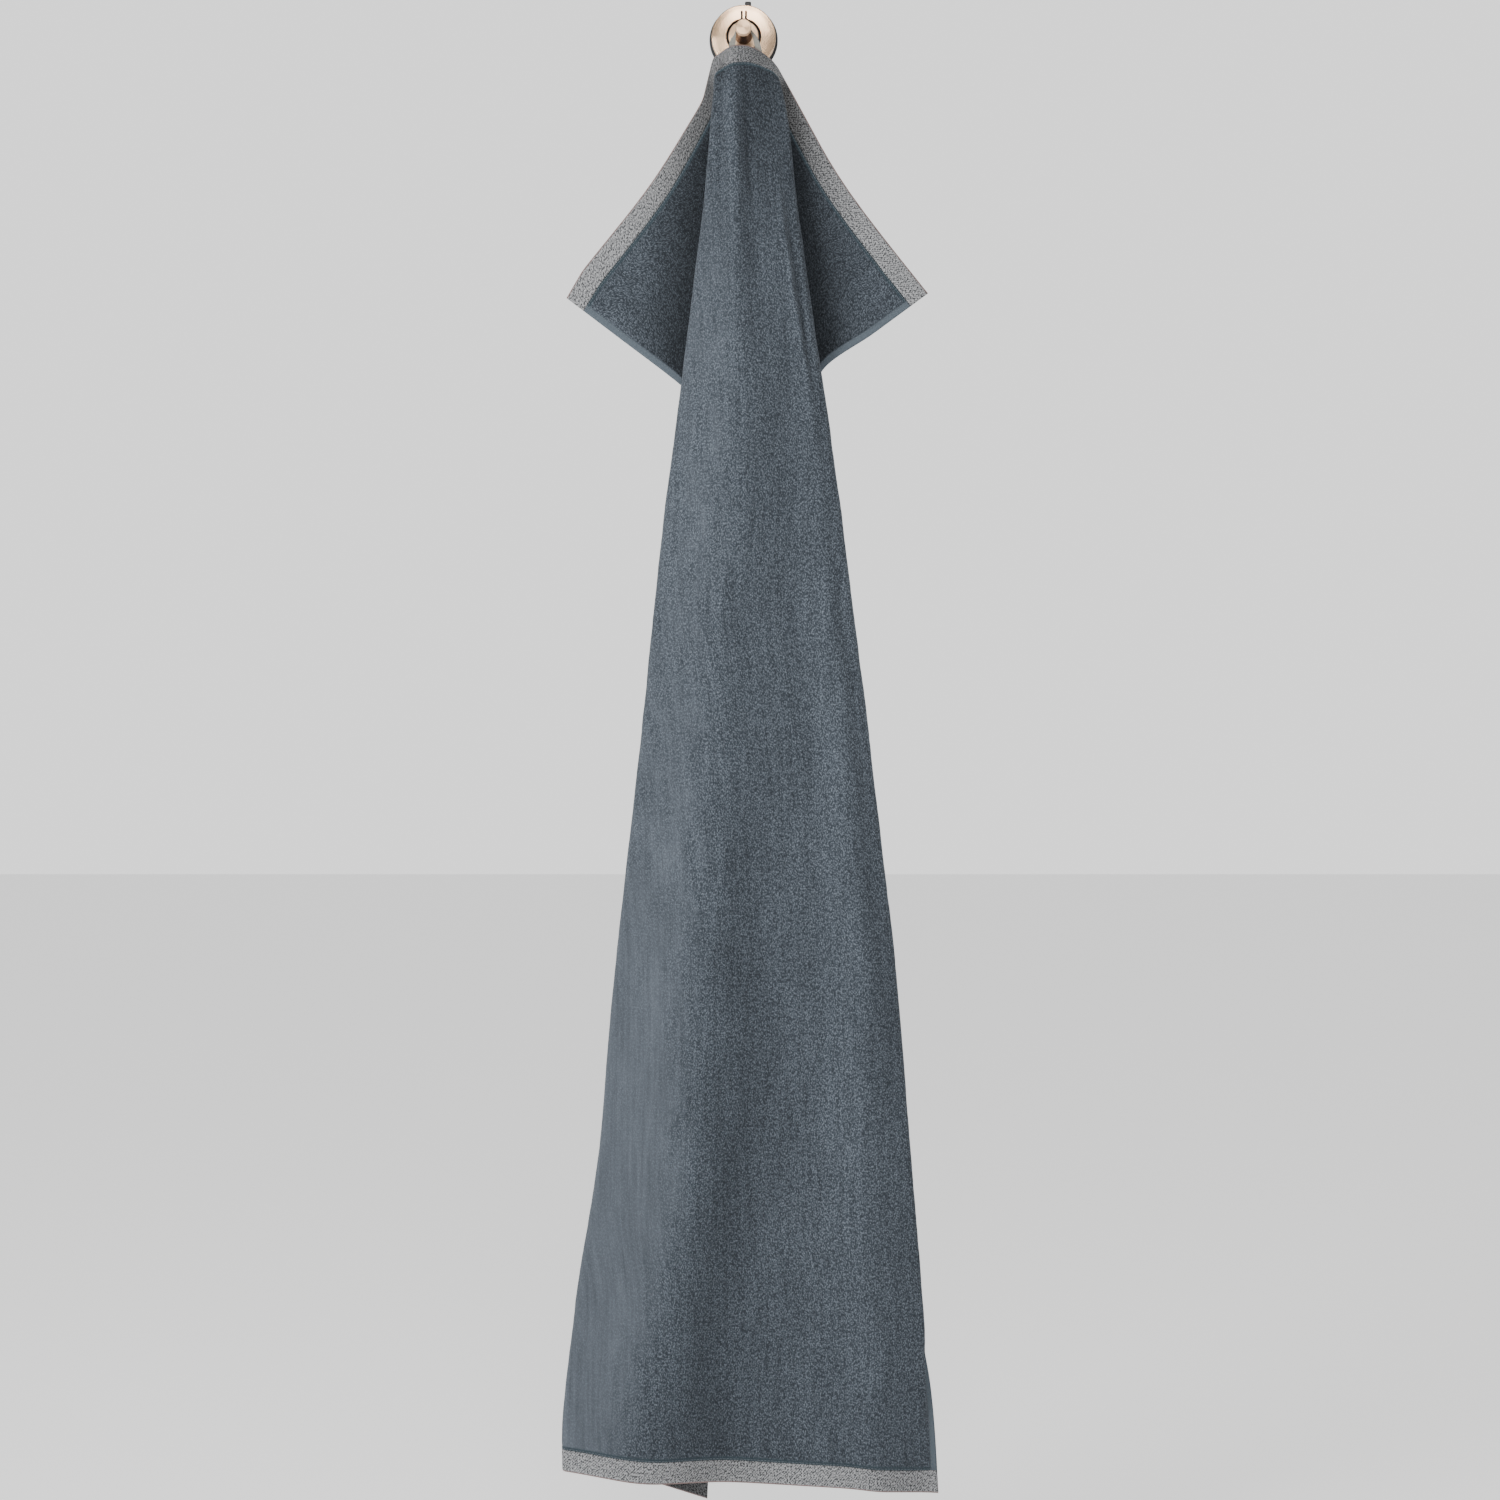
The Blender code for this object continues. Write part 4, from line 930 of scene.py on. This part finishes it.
def plain_material(name, roughness, scale, detail, dark, light, bump, bump_height, fuzz):
    material, tree, shader = new_material(name, roughness)
    place = new_node(tree, "ShaderNodeTexCoord", None, "Object")
    grain = noise(tree, place, scale, detail)
    dress(tree, shader, mix_colour(tree, grain, dark, light), grain, bump, bump_height)
    if fuzz:
        add_fuzz(shader, fuzz)
    return material


def metal_material(name, dark, light, roughness, metallic):
    """Metal brushed in fine rings. Its highlights spread across the rings."""
    material, tree, shader = new_material(name, roughness, metallic)
    place = new_node(tree, "ShaderNodeTexCoord", None, "Object")
    x, z = (new_node(tree, "ShaderNodeSeparateXYZ", {0: place}, axis) for axis in (0, 2))
    squares = math_node(tree, "ADD", product(tree, x, x), product(tree, z, z))
    radius = math_node(tree, "SQRT", squares)
    out = new_node(tree, "ShaderNodeCombineXYZ", {0: radius})
    rings = noise(tree, out, BRUSHED_RINGS, 3.0)
    dress(tree, shader, mix_colour(tree, rings, dark, light), rings, *BRUSHED_BUMP)
    shader.inputs["Anisotropic"].default_value = BRUSHED_SPREAD
    shader.inputs["Anisotropic Rotation"].default_value = 0.25
    tangent = new_node(tree, "ShaderNodeTangent", direction_type="RADIAL", axis="Y")
    tree.links.new(tangent, shader.inputs["Tangent"])
    return material


def rounded_corner(radius, depth, round_size, steps=8):
    """Points of an outer corner at (radius, depth), from the face to the side."""
    angles = [math.pi / 2 * (1 - step / steps) for step in range(steps + 1)]
    side, face = radius - round_size, depth - round_size
    return [(side + round_size * math.cos(a), face + round_size * math.sin(a)) for a in angles]


def make_round(name, material, profile):
    """A solid turned about the hook's axis, flat at both ends. profile rows: distance from the
    axis and depth, from its front to its back."""
    rings = np.array(profile)
    angle = np.linspace(0.0, 2 * math.pi, ROUND_STEPS, endpoint=False)
    x = rings[:, :1] * np.cos(angle)
    z = rings[:, :1] * np.sin(angle)
    y = -np.broadcast_to(rings[:, 1:], x.shape)
    points = np.stack((x, y, z), axis=-1).reshape(-1, 3)
    ends = [(0.0, -depth, 0.0) for depth in rings[[0, -1], 1]]
    points = np.concatenate((points, ends))
    front, back = len(points) - 2, len(points) - 1
    faces = []
    last = (len(rings) - 1) * ROUND_STEPS
    for step in range(ROUND_STEPS):
        following = (step + 1) % ROUND_STEPS
        faces.append((front, step, following))
        faces.append((back, last + following, last + step))
        for ring in range(len(rings) - 1):
            start = ring * ROUND_STEPS
            below = start + ROUND_STEPS
            faces.append((start + step, below + step, below + following, start + following))
    made = mesh_object(name, points, faces, material)
    made.data.set_sharp_from_angle(angle=math.radians(SHARP_DEGREES))
    return made


def make_block(name, material, low, high, round_size):
    corners = [(x, y, z) for x in (0, 1) for y in (0, 1) for z in (0, 1)]
    points = [[(low[k], high[k])[corner[k]] for k in range(3)] for corner in corners]
    faces = [(0, 1, 3, 2), (4, 6, 7, 5), (0, 4, 5, 1), (2, 3, 7, 6), (0, 2, 6, 4), (1, 5, 7, 3)]
    made = mesh_object(name, points, faces, material)
    rounding = made.modifiers.new("rounding", "BEVEL")
    rounding.width = round_size
    rounding.segments = 4
    return made


def join_by(target, tool, operation):
    """Applies a Boolean of target with tool, and removes the tool."""
    step = target.modifiers.new("join", "BOOLEAN")
    step.operation = operation
    step.solver = "EXACT"
    step.object = tool
    bpy.context.view_layer.update()
    graph = bpy.context.evaluated_depsgraph_get()
    result = bpy.data.meshes.new_from_object(target.evaluated_get(graph))
    target.modifiers.remove(step)
    target.data = result
    bpy.data.objects.remove(tool, do_unlink=True)
    result.shade_smooth()
    result.set_sharp_from_angle(angle=math.radians(SHARP_DEGREES))


def darken(piece, metal, is_dark):
    """Gives the second material, the peg's darker metal or the recesses' painted shadow, to the faces
    that is_dark picks by their x, depth and z.
    """
    piece.data.materials.append(metal)
    for face in piece.data.polygons:
        x, y, z = face.center
        if is_dark(x, -y, z):
            face.material_index = 1


def in_recess(x, depth, z):
    """Whether a face of the cover is in the hub's well or in a slot."""
    in_well = math.hypot(x, z) < HUB_WELL_RADIUS + NEAR and depth < COVER_FACE_DEPTH - NEAR
    in_slot = SLOT_BOTTOM < z < SLOT_TOP + NEAR and abs(x) < 2 * SLOT_WIDTH
    sunken = SLOT_FLOOR_DEPTH - NEAR < depth < COVER_FACE_DEPTH - SLOT_ROUND
    return in_well or (in_slot and sunken)


def in_neck(x, depth, z):
    """Whether a face of the peg is behind its head."""
    return depth < PEG_HEAD_BACK_DEPTH


def hand_over(piece, node):
    """Fixes a piece to the part's one body, in place of its solid."""
    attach(piece, "root")
    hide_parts(node)


def make_hook(metal, hub_metal, recess_shadow, neck, rubber):
    """The hook: rubber pad, metal cover, hub and peg, all about the axis at x = 0, z = 0."""
    pad = make_round(
        "hook_pad_rubber",
        rubber,
        [
            (PAD_BODY_RADIUS, PAD_THICKNESS),
            (PAD_BODY_RADIUS + PAD_SLOPE_WIDTH, PAD_SLOPE_DEPTH),
            (PAD_RADIUS - SMALL_EDGE, PAD_LIP_THICKNESS),
            (PAD_RADIUS, PAD_LIP_THICKNESS - SMALL_EDGE),
            (PAD_RADIUS, 0.0),
        ],
    )
    tab = make_block(
        "pad_tab",
        rubber,
        (TAB_X - TAB_WIDTH / 2, -TAB_THICKNESS, PAD_RADIUS - TAB_INSET),
        (TAB_X + TAB_WIDTH / 2, -TAB_BACK, TAB_TOP),
        TAB_ROUND,
    )
    join_by(pad, tab, "UNION")
    half_way = 0.5 * (HUB_WELL_RADIUS + COVER_RADIUS)
    cover = make_round(
        "hook_cover_metal",
        metal,
        [
            (HUB_WELL_RADIUS, HUB_WELL_DEPTH),
            (HUB_WELL_RADIUS, COVER_FACE_DEPTH - SMALL_EDGE),
            (HUB_WELL_RADIUS + SMALL_EDGE, COVER_FACE_DEPTH),
            *((half_way + out, COVER_FACE_DEPTH - fall) for out, fall in COVER_DISH),
            *rounded_corner(COVER_RADIUS, COVER_RIM_DEPTH, COVER_EDGE_ROUND),
            (COVER_RADIUS, COVER_BACK),
        ],
    )
    for number, offset in enumerate(SLOT_OFFSETS):
        slot = make_block(
            f"cover_slot_{number}",
            metal,
            (offset - SLOT_WIDTH / 2, -COVER_FACE_DEPTH - SLOT_CUT_ABOVE, SLOT_BOTTOM),
            (offset + SLOT_WIDTH / 2, -SLOT_FLOOR_DEPTH, SLOT_TOP),
            SLOT_ROUND,
        )
        join_by(cover, slot, "DIFFERENCE")
    # Painted shadow in the hub's well and the slots.
    darken(cover, recess_shadow, in_recess)
    hub = make_round(
        "hook_hub_metal",
        hub_metal,
        [
            *rounded_corner(HUB_RADIUS, HUB_FACE_DEPTH, HUB_EDGE_ROUND),
            (HUB_RADIUS, HUB_WELL_DEPTH + HUB_GAP),
        ],
    )
    foot = HUB_FACE_DEPTH + HUB_GAP
    peg = make_round(
        "hook_peg_metal",
        hub_metal,
        [
            *rounded_corner(PEG_HEAD_RADIUS, PEG_END_DEPTH, PEG_EDGE_ROUND),
            (PEG_HEAD_RADIUS, PEG_HEAD_BACK_DEPTH + PEG_EDGE_ROUND / 2),
            (PEG_HEAD_RADIUS - PEG_EDGE_ROUND / 2, PEG_HEAD_BACK_DEPTH),
            (PEG_NECK_RADIUS, PEG_HEAD_BACK_DEPTH - PEG_EDGE_ROUND),
            (PEG_NECK_RADIUS, PEG_NECK_DEPTH),
            (PEG_NECK_RADIUS + PEG_NECK_FLARE[0], PEG_NECK_DEPTH - PEG_NECK_FLARE[1]),
            (PEG_FOOT_RADIUS, foot + PEG_FOOT_HEIGHT),
            (PEG_FOOT_RADIUS, foot),
        ],
    )
    darken(peg, neck, in_neck)
    hand_over(pad, "hook_pad")
    hand_over(cover, "hook_cover")
    hand_over(hub, "hook_hub")
    hand_over(peg, "hook_peg")


def tube_faces(ring_count, sides, first=0):
    """Faces of a tube of rings, its two ends closed. Its points are numbered from first."""
    faces = []
    for start in range(first, first + (ring_count - 1) * sides, sides):
        for side in range(sides):
            here, following = start + side, start + (side + 1) % sides
            faces.append((here, following, following + sides, here + sides))
    faces.append(tuple(first + side for side in reversed(range(sides))))
    faces.append(tuple(first + (ring_count - 1) * sides + side for side in range(sides)))
    return faces


def make_loop(material):
    """The tape loop as a swept strip with rounded long edges."""
    table = np.array(TAPE_PATH)
    at = np.linspace(0, len(table) - 1, (len(table) - 1) * TAPE_STEPS + 1)
    rows = np.arange(len(table), dtype=float)
    x, depth, drop, facing = (smooth_column(rows, table[:, c], at) for c in range(4))
    centre = np.stack((x, -depth, -drop), axis=1)
    ahead = np.gradient(centre, axis=0)
    ahead /= np.linalg.norm(ahead, axis=1, keepdims=True)
    outward = np.cross(ahead, np.array([0.0, -1.0, 0.0]))
    outward /= np.linalg.norm(outward, axis=1, keepdims=True)
    along_peg = np.cross(outward, ahead)
    angle = np.radians(facing)[:, None]
    wide = along_peg * np.cos(angle) + outward * np.sin(angle)
    thick = np.cross(ahead, wide)
    around = [
        centre + a * wide * TAPE_WIDTH / 2 + b * thick * TAPE_THICKNESS / 2
        for a, b in TAPE_SECTION
    ]
    points = np.stack(around, axis=1).reshape(-1, 3)
    faces = tube_faces(len(centre), len(TAPE_SECTION))
    loop = mesh_object("tape_loop", points, faces, material)
    loop.data.set_sharp_from_angle(angle=math.radians(SHARP_DEGREES))
    hand_over(loop, "hanging_loop")
    return loop


def no_relief(positions, u, v, edge):
    return np.zeros(u.shape)


def panel_relief(positions, u, v, edge):
    """How far the panel moves off its smooth drape: soft unevenness, its creases and the marks of
    folding."""
    lift = sum(height * soft_noise(u, v, *cells_and_seed) for height, *cells_and_seed in UNEVENNESS)
    for start, end, first, last, height, width in CREASES:
        share = np.clip((v - start) / (end - start), 0.0, 1.0)
        line = first + (last - first) * share
        middle = np.array([np.interp(at[0], p, row) for at, p, row in zip(line, positions, u)])
        fade = (end - start) * CREASE_FADE
        long_share = step_between(v, start, start + fade) * (1 - step_between(v, end - fade, end))
        lift += height * long_share * np.exp(-(((u - middle[:, None]) / width) ** 2))
    wander_reach, *wander_cells = PRESS_WANDER
    for place, low, high, depth, width in PRESS_MARKS:
        inside = step_between(u, low - PRESS_FADE, low)
        inside *= 1 - step_between(u, high, high + PRESS_FADE)
        wander = place + wander_reach * soft_noise(u, v, *wander_cells)
        lift -= depth * inside * np.exp(-(((v - wander) / width) ** 2))
    return lift * step_between(edge, 0.0, RELIEF_FROM_EDGE)


def panel_half_thickness(u, v, edge, seed):
    """Half of the panel's thickness: full pile, thinner at the hems and where it meets a band."""
    inside = step_between(edge - HEM_WIDTH, *PILE_FROM_HEM)
    from_seam = np.minimum(v - BAND_WIDTH, FLAT_LENGTH - BAND_WIDTH - v)
    inside = inside * step_between(from_seam, *PILE_FROM_SEAM)
    height, cell_u, cell_v, first_seed = PILE_UNEVENNESS
    pile = height * soft_noise(u, v, cell_u, cell_v, first_seed + seed) * inside
    return (HEM_THICKNESS + (TERRY_THICKNESS - HEM_THICKNESS) * inside) / 2 + pile


def band_half_thickness(u, v, edge, seed):
    """Half of a band's thickness, thinner at the towel's short end."""
    from_end = np.minimum(v, FLAT_LENGTH - v)
    inner = step_between(from_end, 0.0, BAND_EDGE_ROUND)
    return BAND_THICKNESS / 2 * (BAND_EDGE_SHARE + (1 - BAND_EDGE_SHARE) * inner)


def stitch_row(points, normals):
    """Short raised stitches laid end to end along a line on the cloth, as points and faces."""
    steps = np.linalg.norm(np.diff(points, axis=0), axis=1)
    reach = np.concatenate(([0.0], np.cumsum(steps)))
    starts = np.arange(STITCH_START * STITCH_PITCH, reach[-1] - STITCH_LENGTH, STITCH_PITCH)
    places, rises, sizes = np.array(STITCH_RINGS).T
    at = starts[:, None] + places * STITCH_LENGTH
    centre = np.stack([np.interp(at, reach, points[:, k]) for k in range(3)], axis=-1)
    outward = np.stack([np.interp(at, reach, normals[:, k]) for k in range(3)], axis=-1)
    outward /= np.linalg.norm(outward, axis=-1, keepdims=True)
    ahead = centre[:, -1:] - centre[:, :1]
    sideways = np.cross(outward, ahead / np.linalg.norm(ahead, axis=-1, keepdims=True))
    rise = rises[:, None] * STITCH_RADIUS
    size = sizes[:, None] * STITCH_RADIUS
    ring = []
    for angle in np.linspace(0.0, 2 * math.pi, STITCH_SIDES, endpoint=False):
        up = rise + STITCH_FLATNESS * size * math.sin(angle)
        ring.append(centre + outward * up + sideways * size * math.cos(angle))
    made = np.stack(ring, axis=2)
    count, rings, sides = made.shape[:3]
    faces = []
    for stitch in range(count):
        faces += tube_faces(rings, sides, stitch * rings * sides)
    return made.reshape(-1, 3), faces


def line_on_panel(along, from_edge, side, face):
    """A line on the panel's front (face 1) or back (face -1): its points and normals. from_edge is
    its distance from the side edge (side 0 or -1), or None for a line across the towel."""
    points, positions, u, edge = lay_out(along)
    v = np.broadcast_to(along[:, None], u.shape)
    normal = grid_normals(points)
    lift = panel_relief(positions, u, v, edge) + face * panel_half_thickness(u, v, edge, 1)
    surface = points + normal * lift[..., None]
    outward = face * normal
    if from_edge is None:
        return surface[0], outward[0]
    columns = slice(None, len(u[0]) // 2, 1 if side == 0 else -1)

    def read_off(grid):
        rows = zip(edge[:, columns], grid[:, columns])
        return np.array([[np.interp(from_edge, e, row[:, k]) for k in range(3)] for e, row in rows])

    return read_off(surface), read_off(outward)


def make_stitching(material):
    """The sewing: a row of stitches along each side hem and along each seam with a band."""
    panel_top, panel_bottom = BAND_WIDTH, FLAT_LENGTH - BAND_WIDTH
    down = row_positions(panel_top + 0.001, panel_bottom - 0.001, SHEET_ROWS, ROW_CROWDING)
    points, faces = [], []
    count = 0
    sides = ((0, 1), (0, -1), (-1, 1), (-1, -1))
    lines = [line_on_panel(down, STITCH_FROM_EDGE, side, face) for side, face in sides]
    for row in (panel_top + STITCH_FROM_SEAM, panel_bottom - STITCH_FROM_SEAM):
        near = np.array([row, row + 0.0005, row + 0.0010])
        lines += [line_on_panel(near, None, 0, face) for face in (1, -1)]
    for line, normals in lines:
        made, made_faces = stitch_row(line, normals)
        points.append(made)
        faces += [tuple(index + count for index in face) for face in made_faces]
        count += len(made)
    stitching = mesh_object("hem_stitching", np.concatenate(points), faces, material)
    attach(stitching, "root")
    return stitching


def make_towel(terry, melange, tape, thread):
    """The towel: the terry panel, its two bands, the tape loop and the stitching."""
    rows = row_positions(BAND_WIDTH, FLAT_LENGTH - BAND_WIDTH, SHEET_ROWS, ROW_CROWDING)
    panel = make_cloth("terry_panel", terry, rows, panel_half_thickness, panel_relief)
    top_rows = row_positions(0.0, BAND_WIDTH - SEAM_GAP, BAND_ROWS, 1.0)
    top = make_cloth("melange_band_top", melange, top_rows, band_half_thickness, no_relief)
    bottom_rows = row_positions(FLAT_LENGTH - BAND_WIDTH + SEAM_GAP, FLAT_LENGTH, BAND_ROWS, 1.0)
    bottom = make_cloth("melange_band_bottom", melange, bottom_rows, band_half_thickness, no_relief)
    loop = make_loop(tape)
    stitching = make_stitching(thread)
    hand_over(panel, "towel_panel")
    hand_over(top, "end_band_top")
    hand_over(bottom, "end_band_bottom")


def make_light(name, place, target, size, power, colour):
    data = bpy.data.lights.new(name, "AREA")
    data.shape = "RECTANGLE"
    data.size, data.size_y = size
    data.energy = power
    data.color = colour
    light = bpy.data.objects.new(name, data)
    light.location = place
    direction = np.array(target) - np.array(place)
    flat = math.hypot(direction[0], direction[1])
    pitch = math.atan2(direction[2], flat)
    heading = math.atan2(direction[0], direction[1])
    light.rotation_euler = (math.pi / 2 + pitch, 0.0, -heading)
    bpy.context.scene.collection.objects.link(light)


def make_studio():
    """A plain pale floor, soft light from all round and softboxes in front, and the camera."""
    floor_material, tree, shader = new_material("pale_floor", 1.0)
    set_socket(tree, shader.inputs["Base Color"], FLOOR_COLOUR)
    shader.inputs["Emission Color"].default_value = (1.0, 1.0, 1.0, 1.0)
    shader.inputs["Emission Strength"].default_value = FLOOR_GLOW
    half = FLOOR_SIZE / 2
    corners = [(-half, -half), (half, -half), (half, half), (-half, half)]
    points = [(x, y, -FLOOR_DROP) for x, y in corners]
    floor = mesh_object("floor", points, [(0, 1, 2, 3)], floor_material)
    world = bpy.data.worlds.new("studio")
    world.use_nodes = True
    tree = world.node_tree
    direction = new_node(tree, "ShaderNodeTexCoord", None, "Generated")
    to_wall = new_node(tree, "ShaderNodeSeparateXYZ", {0: direction}, 1)
    to_wall = ramp(tree, to_wall, *WORLD_TURN)
    more = WALL_SIDE_LIGHT - ROOM_SIDE_LIGHT
    strength = math_node(tree, "MULTIPLY_ADD", to_wall, more, ROOM_SIDE_LIGHT)
    tree.links.new(strength, tree.nodes["Background"].inputs[1])
    tree.nodes["Background"].inputs[0].default_value = (1.0, 1.0, 1.0, 1.0)
    bpy.context.scene.world = world
    for row in STUDIO_LIGHTS:
        make_light(*row)
    data = bpy.data.cameras.new("camera")
    data.sensor_width = SENSOR_MM
    data.lens = CAMERA_LENS_MM
    camera = bpy.data.objects.new("camera", data)
    camera.location = CAMERA_PLACE
    camera.rotation_euler = (math.pi / 2, 0.0, 0.0)
    bpy.context.scene.collection.objects.link(camera)
    bpy.context.scene.camera = camera


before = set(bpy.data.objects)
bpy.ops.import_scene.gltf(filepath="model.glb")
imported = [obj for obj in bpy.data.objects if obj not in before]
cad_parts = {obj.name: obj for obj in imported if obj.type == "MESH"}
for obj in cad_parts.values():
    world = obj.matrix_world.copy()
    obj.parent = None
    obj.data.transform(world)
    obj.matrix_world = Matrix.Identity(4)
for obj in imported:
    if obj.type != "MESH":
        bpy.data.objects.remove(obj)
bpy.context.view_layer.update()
make_studio()
tape, rubber, thread = (plain_material(*row) for row in PLAIN_MATERIALS)
make_towel(terry_material(), band_material(), tape, thread)
make_hook(*(metal_material(*row) for row in METALS), rubber)
